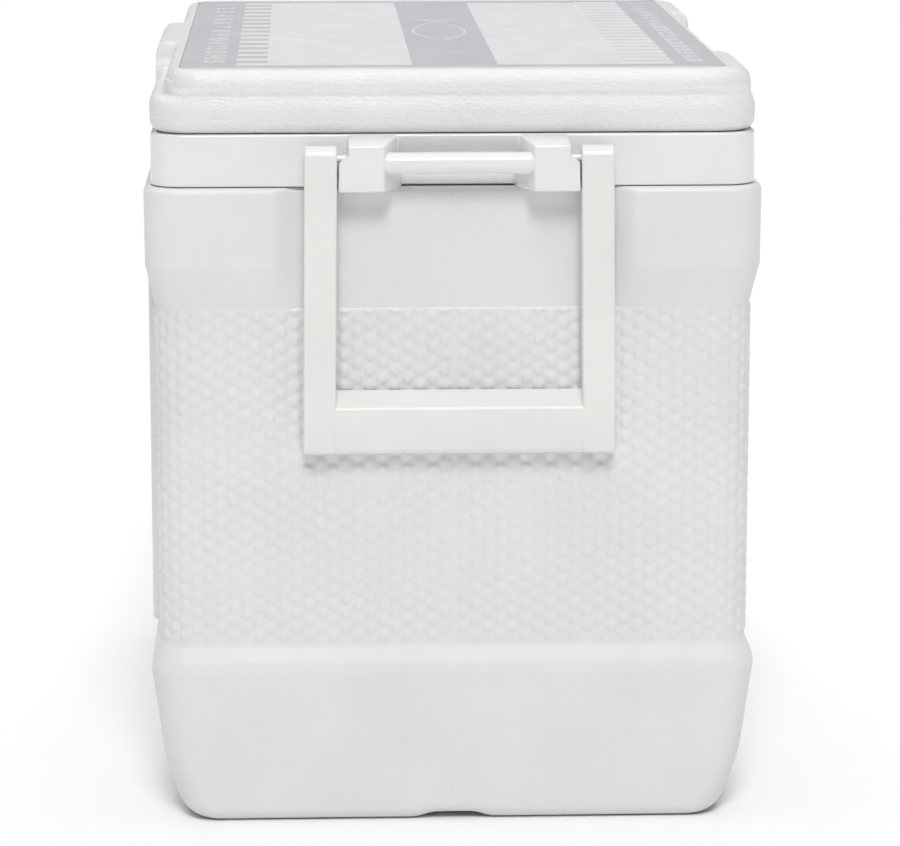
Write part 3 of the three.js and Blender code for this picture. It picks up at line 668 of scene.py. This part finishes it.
# ---------------------------------------------------------------- rim collar


def collar_frame():
    quarter = Plan.quarter(COLLAR_HALF_X, COLLAR_HALF_Y, COLLAR_CORNER)
    run = COLLAR_HALF_Y - COLLAR_CORNER
    turn_end = run + COLLAR_CORNER * math.pi / 2
    columns = stations([(28, 4), (36, 0.8), (run, 4), (turn_end, 1.2), (quarter, 5)])
    plan = Plan(COLLAR_HALF_X, COLLAR_HALF_Y, COLLAR_CORNER, columns)
    reach = COLLAR_HALF_X - MOUTH_HALF_X
    deck_under = COLLAR_TOP - COLLAR_DECK
    loop = rounded([
        (0, COLLAR_BOTTOM, 0.8), (0.3, COLLAR_TOP, 1.3), (reach, COLLAR_TOP, 1), (reach, deck_under, 0.5),
        (COLLAR_WALL, deck_under, 0.5), (COLLAR_WALL, COLLAR_BOTTOM, 0.5),
    ], closed=True, arc_step=15)
    loop = divided(np.vstack([loop, loop[:1]]), 3)[:-1]
    radius = COLLAR_CORNER + (MOUTH_CORNER - COLLAR_CORNER) * loop[:, 0] / reach
    rows = np.column_stack([loop, radius])
    hollow = 1 - smooth(FINGER_HALF_Y, FINGER_HALF_Y + 2.6, np.abs(plan.y - END_SHIFT))
    outer = rows[:, :1] < 5.4
    slope = (FINGER_DEPTH + 1.5) * np.clip((COLLAR_TOP - 1 - rows[:, 1:2]) / 17, 0, 1)
    extra = (np.abs(plan.nx) > 0.99) * hollow * outer * slope
    return skin_points(plan, COLLAR_HALF_X, COLLAR_HALF_Y, rows, extra)


def collar_block(side_x, side_y):
    """One bracket block: a wide foot, a waist beside the handle's arm, and a flank slanting back."""
    bm = bmesh.new()
    back = COLLAR_HALF_X - FINGER_DEPTH - 1
    slope = (BLOCK_INNER_Y - FINGER_HALF_Y) / (BLOCK_FRONT - COLLAR_HALF_X + FINGER_DEPTH)
    deck = COLLAR_TOP - 0.5
    rings = []
    for x, top in ((back, deck), (COLLAR_HALF_X, deck), (BLOCK_FRONT, BLOCK_FRONT_TOP)):
        inner = BLOCK_INNER_Y - slope * (BLOCK_FRONT - x)
        outline = rounded([
            (inner, BLOCK_BOTTOM, 0), (BLOCK_BOTTOM_Y, BLOCK_BOTTOM, 0),
            (BLOCK_BOTTOM_Y - 0.4, BAIL_PIVOT_Z - 2, 1.5), (BLOCK_TOP_Y, BAIL_PIVOT_Z + 2, 1.5),
            (BLOCK_TOP_Y, top, 0), (inner, top, 0),
        ], closed=True)
        rings.append([(side_x * x, side_y * y + END_SHIFT, z) for y, z in outline])
    add_loft(bm, rings)
    bevel_sharp(bm, 1.2, segments=5, angle=30)
    return bm


def tie_bar(side_x):
    """The bar between two blocks, a little slimmer where it runs into them."""
    bm = bmesh.new()
    reach = BLOCK_INNER_Y + 2
    along = np.linspace(-reach, reach, 61)
    radius = BAR_R - 0.5 * smooth(BLOCK_INNER_Y - 2, BLOCK_INNER_Y + 1, np.abs(along))
    profile = [(0, -reach), *zip(radius, along), (0, reach)]
    add_lathe(bm, profile, (side_x * BAR_X, END_SHIFT, BAR_Z), sides=72)
    return bm


def pivot_pin(side_x, side_y):
    """The slim pin that a handle's arm turns on."""
    bm = bmesh.new()
    low, high, chamfer = 52, 79, 0.3
    profile = [
        (0, low), (PIN_R - chamfer, low), (PIN_R, low + chamfer), (PIN_R, high - chamfer),
        (PIN_R - chamfer, high), (0, high),
    ]
    profile = [(radius, side_y * along) for radius, along in profile]
    add_lathe(bm, profile, (side_x * BAIL_PIVOT_X, END_SHIFT, BAIL_PIVOT_Z), sides=32)
    label = f"{'right' if side_x > 0 else 'left'}_{'back' if side_y > 0 else 'front'}"
    return mesh_object(f"pivot_pin_{label}_turned", bm), f"pivot_pin_{label}"


def merge(bm, other):
    scratch = bpy.data.meshes.new("scratch")
    other.to_mesh(scratch)
    other.free()
    bm.from_mesh(scratch)
    bpy.data.meshes.remove(scratch)


def join_objects(pieces, name):
    """One object from several, keeping every mesh as its own closed shell."""
    bpy.ops.object.select_all(action="DESELECT")
    for piece in pieces:
        piece.select_set(True)
    bpy.context.view_layer.objects.active = pieces[0]
    bpy.ops.object.join()
    pieces[0].name = name
    return pieces[0]


def rim_collar():
    frame_piece = grid_object("collar_frame", collar_frame(), closed=True)
    bm = bmesh.new()
    for side_x in (1, -1):
        for side_y in (1, -1):
            merge(bm, collar_block(side_x, side_y))
        merge(bm, tie_bar(side_x))
    ends = mesh_object("collar_ends", bm, sharp=35, weighted=False)
    return join_objects([frame_piece, ends], "rim_collar_moulding")


# ---------------------------------------------------------------- lid


def lid_profiles():
    """The lid's section in its six kinds of place, as rows of (inset, z) that match one to one."""
    inner, ceiling = 8, 407
    edge = 15.4  # where the top meets the rim of the ruler's recess
    low_z = LID_BOTTOM - 1.15
    skirt = resampled(rounded([(30, ceiling, 0), (inner, ceiling, 3), (inner, LID_BOTTOM, 0)]), SKIRT_ROWS)
    valley_z, top_z = LID_STEP + 0.2, LID_TOP

    def section(lower, upper):
        lower = resampled(rounded(lower, arc_step=6), LOWER_ROWS)
        upper = resampled(rounded(upper, arc_step=6), UPPER_ROWS)
        return np.vstack([skirt, lower, upper[1:]])

    def tiers(set_in):
        valley = set_in + 0.4
        lower = [(inner, low_z, 0), (0.6, low_z, 6), (0, LID_STEP - 6, 12), (valley, valley_z, 0)]
        upper = [
            (valley, valley_z, 0), (set_in - 0.2, LID_STEP + 2.2, 2.5), (set_in + 0.3, top_z, 8),
            (edge, top_z, 0),
        ]
        return section(lower, upper)

    shelf = UPPER_FRONT + 0.4
    shelf_lower = [(inner, low_z, 0), (0.6, low_z, 6), (0, LID_STEP, 5), (shelf, valley_z, 0)]
    shelf_upper = [
        (shelf, valley_z, 0), (UPPER_FRONT, LID_STEP + 2.2, 2), (shelf, top_z, 5), (edge, top_z, 0),
    ]
    lip_lower = [
        (inner, LID_BOTTOM, 0), (1, LID_BOTTOM, 4), (0.4, 384, 1), (-LIP_PROUD, 388, 6),
        (-LIP_PROUD, LID_STEP, 0),
    ]
    lip_upper = [(-LIP_PROUD, LID_STEP, 0), (-LIP_PROUD + 0.6, top_z, 6.5), (edge, top_z, 0)]
    notch_lower = [
        (inner, LID_BOTTOM, 0), (0.6, LID_BOTTOM, 7), (0, NOTCH_FLOOR, 1.4), (NOTCH_INSET, NOTCH_FLOOR, 0),
    ]
    notch_upper = [(NOTCH_INSET, NOTCH_FLOOR, 0), (NOTCH_INSET, top_z, 1.2), (edge, top_z, 0)]
    pocket_lower = [
        (NOTCH_INSET + 1, LID_BOTTOM, 0), (NOTCH_INSET, LID_BOTTOM, 0.5), (NOTCH_INSET, NOTCH_FLOOR, 0),
    ]
    return {
        "end": tiers(UPPER_END),
        "front": section(shelf_lower, shelf_upper),
        "back": tiers(UPPER_BACK),
        "lip": section(lip_lower, lip_upper),
        "notch": section(notch_lower, notch_upper),
        "pocket": section(pocket_lower, notch_upper),
    }


def lid_columns():
    run_y = LID_HALF_Y - LID_CORNER
    quarter = Plan.quarter(LID_HALF_X, LID_HALF_Y, LID_CORNER)
    turn_end = run_y + LID_CORNER * math.pi / 2

    def at(x):
        return quarter - x

    low, high = HINGE_X - POCKET_HALF_X, HINGE_X + POCKET_HALF_X
    back = stations([
        (run_y, 2), (turn_end, 0.7), (at(NOTCH_HALF_X + 5), 1.5), (at(NOTCH_HALF_X - 3), 0.4),
        (at(high + 0.5), 1.4), (at(high - 0.5), 0.25), (at(low + 0.5), 2), (at(low - 0.5), 0.25),
        (quarter, 2),
    ])
    front = stations([
        (run_y, 2), (turn_end, 0.7), (at(LIP_HALF_X + 2), 2), (at(LIP_HALF_X - 5), 0.4), (quarter, 2),
    ])
    return Plan(LID_HALF_X, LID_HALF_Y, LID_CORNER, back, front)


def lid_shell():
    """The lid, whose section changes from place to place."""
    plan, kinds = lid_columns(), lid_profiles()
    x = np.abs(plan.x)
    is_back, is_front = plan.ny > 0.99, plan.ny < -0.99
    notch = is_back * (1 - smooth(NOTCH_HALF_X - 2, NOTCH_HALF_X + 4, x))
    pocket = is_back * (np.abs(x - HINGE_X) <= POCKET_HALF_X)
    lip = is_front * (1 - smooth(LIP_HALF_X - 4, LIP_HALF_X + 1, x))
    weight = {
        "front": smooth(0, 1, np.clip(-plan.ny, 0, 1)) * (1 - lip),
        "back": smooth(0, 1, np.clip(plan.ny, 0, 1)) * (1 - notch),
        "end": smooth(0, 1, np.abs(plan.nx) ** 2),
        "lip": lip,
        "notch": notch * (1 - pocket),
        "pocket": notch * pocket,
    }
    total = sum(weight.values())
    blend = sum(kinds[kind][:, :, None] * (w / total)[None, None, :] for kind, w in weight.items())
    inset, z = blend[:, 0], blend[:, 1]
    corner = LID_CORNER + (UPPER_CORNER - LID_CORNER) * smooth(LID_STEP - 1, LID_STEP + 6, z.max(axis=1))
    corner[:SKIRT_ROWS] = LID_CORNER
    rows = np.column_stack([np.zeros(len(inset)), np.zeros(len(inset)), corner])
    lid_points = skin_points(plan, LID_HALF_X, LID_HALF_Y, rows, extra=inset, lift=z)
    rim = []
    for grow, drop in ((0.8, 0), (0.45, 0.12), (0.3, 0.4), (0.3, RULER_RECESS)):
        ring = np.array([[0, LID_TOP - drop, RULER_CORNER + 0.3]])
        rim.append(skin_points(plan, RULER_HALF_X + grow, RULER_HALF_Y + grow, ring)[0])
    return grid_object("lid_shell_moulding", np.concatenate([lid_points[:-1], np.array(rim)]))


# ---------------------------------------------------------------- ruler


def ruler_panel():
    plan = even_plan(RULER_HALF_X, RULER_HALF_Y, RULER_CORNER, 20, 1)
    base = RULER_LOW[2]
    edge = rounded([(6, base, 0), (0, base, 0.1), (0, RULER_TOP, 0.25), (6, RULER_TOP, 0)], arc_step=20)
    rows = np.column_stack([edge, np.full(len(edge), RULER_CORNER)])
    rows[[0, -1], 2] = 1
    return grid_object("ruler_film", skin_points(plan, RULER_HALF_X, RULER_HALF_Y, rows))


def add_mark(bm, x0, x1, y0, y1):
    add_plate(bm, [(x0, y0), (x1, y0), (x1, y1), (x0, y1)], MARK_LOW, MARK_HIGH)


def add_bars(bm, high, low, count, pitch, gap, y0, y1):
    """A row of bars from the high end down, each one a pitch apart and a gap short of the next."""
    for i in range(count):
        x = high - i * pitch
        x1 = max(x - pitch + gap, low)
        if x - x1 > 1:
            add_mark(bm, x1, x, y0, y1)


def add_stroke(bm, points, width):
    """A closed ribbon of print along a run of [x, y] points."""
    path = np.array(points, float)
    ahead = np.gradient(path, axis=0)
    ahead /= np.linalg.norm(ahead, axis=1)[:, None]
    side = np.stack([-ahead[:, 1], ahead[:, 0]], axis=1) * width / 2
    outline = [*(path + side), *(path - side)[::-1]]
    add_plate(bm, outline, MARK_LOW, MARK_HIGH)


def add_number(bm, text, x, y, height):
    """A plain wide number whose foot faces the front of the chest."""
    curve = bpy.data.curves.new("number", "FONT")
    curve.body = text
    curve.size = height / 0.7
    curve.align_x, curve.align_y = "CENTER", "CENTER"
    curve.extrude = (MARK_HIGH - MARK_LOW) / 2
    curve.offset = 0.02 * height
    source = new_object("number_source", curve)
    evaluated = source.evaluated_get(bpy.context.evaluated_depsgraph_get())
    mesh = bpy.data.meshes.new_from_object(evaluated)
    widen = Matrix.Diagonal((1.3, 1, 1, 1))
    mesh.transform(Matrix.Translation((x, y, (MARK_HIGH + MARK_LOW) / 2)) @ widen)
    bm.from_mesh(mesh)
    bpy.data.objects.remove(source)
    bpy.data.curves.remove(curve)
    bpy.data.meshes.remove(mesh)


def ruler_marks():
    """White print: inch bars along the front, centimetre bars along the back, a plain fish between."""
    bm = bmesh.new()
    low, high = -RULER_HALF_X + END_MARGIN, RULER_HALF_X - END_MARGIN
    inches = int((high - low) // INCH)
    for i in range(inches + 1):
        x = high - i * INCH
        add_mark(bm, max(x - INCH / 2, low), x, INCH_BARS[0], INCH_BARS[1] + 0.01)
        if i < inches:
            add_number(bm, str(inches - i), x - INCH, INCH_NUMBERS_Y, INCH_NUMBER)
    half_inches, bars = int((high - low) // (INCH / 2)), int((high - low) // TWO_CM)
    add_bars(bm, high, low, half_inches + 1, INCH / 2, HAIRLINE, *WHITE_ZONE_FRONT)
    ticks_from = WHITE_ZONE_BACK[1] - TICK_LENGTH
    add_bars(bm, high, low, bars * 2 + 1, TWO_CM / 2, HAIRLINE, WHITE_ZONE_BACK[0], ticks_from)
    add_bars(bm, high, low, bars + 1, TWO_CM, TICK_GAP, ticks_from, WHITE_ZONE_BACK[1])
    for i in range(1, bars + 1):
        add_number(bm, str(2 * (bars - i + 1)), high - i * TWO_CM, CM_NUMBERS_Y, CM_NUMBER)
    add_fish(bm)
    return mesh_object("ruler_marks", bm, weighted=False)


def add_fish(bm):
    """A plain fish outline along the middle band: two arcs for the body, a forked tail, gill and eye."""
    length, depth, stroke = 118, 15, 1.1
    t = np.linspace(0, 1, 33)
    x = length * (t - 0.5)
    bow = depth * np.sin(math.pi * t) ** 0.8
    add_stroke(bm, np.stack([x, bow], axis=1), stroke)
    add_stroke(bm, np.stack([x, -bow], axis=1), stroke)
    tail = -length / 2
    for side in (1, -1):
        add_stroke(bm, np.linspace((tail - 20, 13 * side), (tail, 1 * side), 6), stroke)
        add_stroke(bm, np.linspace((tail - 20, 13 * side), (tail - 14, 0), 6), stroke)
    gill_x = length * 0.24
    gill = np.linspace(-1, 1, 13)
    add_stroke(bm, np.stack([gill_x + 5 * (1 - gill ** 2), 10 * gill], axis=1), stroke)
    turn = np.linspace(0, 2 * math.pi, 21)[:-1]
    eye = [(length * 0.38 + 1.6 * math.cos(a), 3 + 1.6 * math.sin(a)) for a in turn]
    add_plate(bm, eye, MARK_LOW, MARK_HIGH)


# ---------------------------------------------------------------- liner, pan and seal


def offset_rows(profile, radius):
    """Rows whose corners stay parallel: the corner radius shrinks as the inset grows."""
    return np.column_stack([profile, np.clip(radius - profile[:, 0], 1, None)])


def inner_liner():
    plan = even_plan(LINER_HALF_X, LINER_HALF_Y, LINER_CORNER, 6, 1.5)
    floor_under, mouth, wall = LINER_LOW[2], LINER_HIGH[2], LINER_WALL
    flange, reach = mouth - 3.5, wall + 8
    profile = rounded([
        (24, floor_under, 0), (-wall, floor_under, 9), (-wall, flange - wall, 0),
        (-reach, flange - wall, 0.6), (-reach, flange, 0.6), (-wall, flange, 0), (-wall, mouth, 0.7),
        (0, mouth, 1.2), (0, floor_under + wall, 12), (24, floor_under + wall, 0),
    ], arc_step=9)
    points = skin_points(plan, LINER_HALF_X, LINER_HALF_Y, offset_rows(divided(profile, 12), LINER_CORNER))
    return grid_object("inner_liner_tub", points)


def lid_liner():
    """The pan under the lid: a flat plate with a shallow plug that drops into the tub's mouth."""
    low, high = extent("lid_liner")
    bottom, top, wall = low[2], high[2], LINER_WALL
    half_x, half_y, radius = (
        size - PLUG_CLEARANCE for size in (LINER_HALF_X, LINER_HALF_Y, LINER_CORNER)
    )
    plan = even_plan(half_x, half_y, radius, 6, 1.5)
    plate = -(min(LID_HALF_X - half_x, LID_HALF_Y - half_y) - 9)
    outside = rounded([
        (22, bottom, 0), (0, bottom, 5), (0, top - wall, 2.5), (plate, top - wall, 0.8), (plate, top, 0.8),
        (wall, top, 1.5), (wall, bottom + wall, 4), (22, bottom + wall, 0),
    ], arc_step=9)
    rows = offset_rows(outside, radius)
    rows[:, 2] = np.clip(rows[:, 2], 1, PLATE_CORNER)
    return grid_object("lid_liner_pan", skin_points(plan, half_x, half_y, rows))


def lid_gasket():
    """A hollow-section seal: two soft ribs joined by a flat web."""
    low, high = extent("lid_gasket")
    half_x, half_y, width = high[0], high[1], GASKET_WIDTH
    plan = even_plan(half_x, half_y, GASKET_CORNER, 6, 2)
    bottom, top, web = low[2], high[2], low[2] + 0.5
    loop = rounded([
        (0, top, 0.2), (0, bottom, 0.45), (4, bottom, 0.45), (5, web, 0.2), (width - 5, web, 0.2),
        (width - 4, bottom, 0.45), (width, bottom, 0.45), (width, top, 0.2),
    ], closed=True, arc_step=30)
    points = skin_points(plan, half_x, half_y, offset_rows(loop[::-1], GASKET_CORNER))
    return grid_object("lid_gasket_seal", points, closed=True)


# ---------------------------------------------------------------- bail handles


def bail_arm_outline():
    """The arm seen from the side: a half-round top about the pivot and a foot that curves back."""
    bottom = BAIL_BOTTOM + 0.8
    half = BAIL_HUB_R - 0.2
    top = [
        (BAIL_PIVOT_X + half * math.cos(a), BAIL_PIVOT_Z + half * math.sin(a))
        for a in np.linspace(0, math.pi, 19)
    ]
    foot = rounded([
        (BAIL_PIVOT_X - half, BAIL_PIVOT_Z, 0), (BAIL_PIVOT_X - half, bottom, 2.5),
        (BAIL_PIVOT_X + half - 4.2, bottom, 3.5), (BAIL_PIVOT_X + half, BAIL_BOTTOM + 17, 45),
        (BAIL_PIVOT_X + half, BAIL_PIVOT_Z, 0),
    ], arc_step=7)
    return [*top, *map(tuple, foot[1:-1])]


def add_bail_arm(bm, side_y):
    flare = BAIL_ARM_BOTTOM_Y - BAIL_ARM_TOP_Y
    rings = []
    for width in (0, BAIL_ARM_WIDTH):
        ring = []
        for x, z in bail_arm_outline():
            down = np.clip((BAIL_PIVOT_Z - z) / (BAIL_PIVOT_Z - BAIL_BOTTOM), 0, 1)
            ring.append((x, side_y * (BAIL_ARM_TOP_Y + width + flare * down), z))
        rings.append(ring)
    arm = bmesh.new()
    add_loft(arm, rings)
    bevel_sharp(arm, 1.2, segments=5, angle=50)
    merge(bm, arm)


def add_bail_grip(bm):
    """The cross bar: a ledge that slopes forward to a rounded edge, over a face that curves back."""
    reach = BAIL_ARM_BOTTOM_Y + 3
    front = BAIL_OUTER_X - 0.5
    outline = rounded([
        (BAIL_INNER_X, BAIL_GRIP_TOP, 1.6), (BAIL_INNER_X, BAIL_BOTTOM + 1.2, 2),
        (front - 5, BAIL_BOTTOM + 0.3, 5), (front, BAIL_BOTTOM + 17, 45), (front, BAIL_GRIP_TOP - 9.5, 3),
    ], closed=True, arc_step=7)
    add_loft(bm, [[(x, y, z) for x, z in outline] for y in np.linspace(-reach, reach, 25)])


def bail_handle(side, label):
    bm = bmesh.new()
    add_bail_arm(bm, 1)
    add_bail_arm(bm, -1)
    add_bail_grip(bm)
    if side < 0:
        bmesh.ops.rotate(bm, cent=(0, 0, 0), matrix=Matrix.Rotation(math.pi, 3, "Z"), verts=bm.verts)
    bmesh.ops.translate(bm, vec=(0, END_SHIFT, 0), verts=bm.verts)
    return mesh_object(f"bail_handle_{label}_moulding", bm)


# ---------------------------------------------------------------- hardware from the CAD shapes


HARDWARE = ("leaf", "pin", "screw", "drain")


def softened(node, width, name):
    """A copy of a hardware node with its sharp edges rounded."""
    bm = bmesh.new()
    bm.from_mesh(frame["nodes"][node].data)
    bmesh.ops.remove_doubles(bm, verts=bm.verts, dist=1e-6)
    bmesh.ops.dissolve_limit(bm, angle_limit=0.02, verts=bm.verts, edges=bm.edges)
    bmesh.ops.scale(bm, vec=(1 / MM,) * 3, verts=bm.verts)
    bevel_sharp(bm, width, segments=2, angle=40)
    return mesh_object(name, bm, sharp=32)


# ---------------------------------------------------------------- build


def build():
    finish_piece(outer_shell(), "chest", "body_plastic", ["outer_shell"])
    finish_piece(rim_collar(), "chest", "collar_plastic", ["rim_collar"])
    finish_piece(inner_liner(), "chest", "liner_plastic", ["inner_liner"])
    finish_piece(lid_shell(), "lid", "lid_plastic", ["lid_shell"])
    finish_piece(lid_liner(), "lid", "liner_plastic", ["lid_liner"])
    finish_piece(lid_gasket(), "lid", "seal_rubber", ["lid_gasket"])
    finish_piece(ruler_panel(), "lid", "ruler_print", ["ruler_panel"])
    finish_piece(ruler_marks(), "lid", "ruler_print", material=RULER_WHITE)
    for side, label in ((1, "right"), (-1, "left")):
        handle = f"bail_handle_{label}"
        finish_piece(bail_handle(side, label), f"bail_{label}", "handle_plastic", [handle])
        for side_y in (1, -1):
            pin, node = pivot_pin(side, side_y)
            finish_piece(pin, "chest", "handle_plastic", [node], material=MATERIALS["collar_plastic"])


def hardware():
    """Hinges, screws and drain parts: the CAD shapes with their sharp edges rounded."""
    slots = {part["node"]: part["material_slot"] for part in frame["record"]["subparts"]}
    for body, nodes in frame["record"]["behaviour"]["bodies"].items():
        for node in nodes:
            if node.startswith("pivot") or not any(word in node for word in HARDWARE):
                continue
            width = 0.6 if "drain" in node else 0.25
            finish_piece(softened(node, width, f"{node}_part"), body, slots[node], [node])


def dress_cad_nodes():
    """Gives every CAD node its slot's material."""
    slots = {part["node"]: part["material_slot"] for part in frame["record"]["subparts"]}
    for name, node in frame["nodes"].items():
        node.data.materials.clear()
        node.data.materials.append(MATERIALS[slots[name]])


# ---------------------------------------------------------------- stage, light and camera


STUDIO, CURTAIN = 40, 4.8  # metres: how far the floor reaches, and twice the height of the curtain


def floor():
    drop = 0.0002
    bpy.ops.mesh.primitive_plane_add(size=2 * STUDIO, location=(0, 0, -drop))
    plane = bpy.context.active_object
    plane.name = "floor"
    shader = Shader("floor_white", 0.9)
    shade = shader.noise(400, detail=2)
    shader.color(shader.mix(shade, (0.945, 0.945, 0.945, 1), (0.955, 0.955, 0.955, 1)))
    plane.data.materials.append(shader.material)


def backdrop():
    """A white curtain far behind the chest on every side, so that low views end in white too."""
    bpy.ops.mesh.primitive_cylinder_add(
        vertices=96, radius=STUDIO * 0.95, depth=CURTAIN, end_fill_type="NOTHING", location=(0, 0, 0)
    )
    curtain = bpy.context.active_object
    curtain.name = "backdrop"
    shader = Shader("backdrop_white", 0.9, **{
        "Base Color": (0, 0, 0, 1), "Emission Color": (1, 1, 1, 1), "Emission Strength": 1.0,
    })
    curtain.data.materials.append(shader.material)


def soft_sun(name, azimuth, elevation, strength, spread):
    """Even light from one side of the sky, as from a very large softbox."""
    data = bpy.data.lights.new(name, "SUN")
    data.energy = strength
    data.angle = math.radians(spread)
    light = new_object(name, data)
    turn, rise = math.radians(azimuth), math.radians(elevation)
    toward = Vector((math.cos(turn) * math.cos(rise), math.sin(turn) * math.cos(rise), math.sin(rise)))
    light.rotation_euler = toward.to_track_quat("Z", "Y").to_euler()


def studio():
    """An even white sky, a key light from the camera's end and a wide light from above."""
    world = bpy.data.worlds.new("studio")
    world.use_nodes = True
    background = world.node_tree.nodes["Background"]
    background.inputs["Color"].default_value = (1, 1, 1, 1)
    background.inputs["Strength"].default_value = 0.15
    bpy.context.scene.world = world
    soft_sun("key", azimuth=0, elevation=50, strength=1.62, spread=18)
    soft_sun("top", azimuth=180, elevation=80, strength=1.75, spread=80)


def camera():
    data = bpy.data.cameras.new("camera")
    data.sensor_width = 36
    data.lens = 150.64
    view = new_object("camera", data)
    view.location = (2.2042, -0.0802, 0.6134)
    view.rotation_euler = Vector((-0.98032, 0.03857, -0.19356)).to_track_quat("-Z", "Y").to_euler()
    bpy.context.scene.camera = view


camera()
studio()
floor()
backdrop()
dress_cad_nodes()
build()
hardware()
bpy.context.scene.view_settings.view_transform = "Standard"
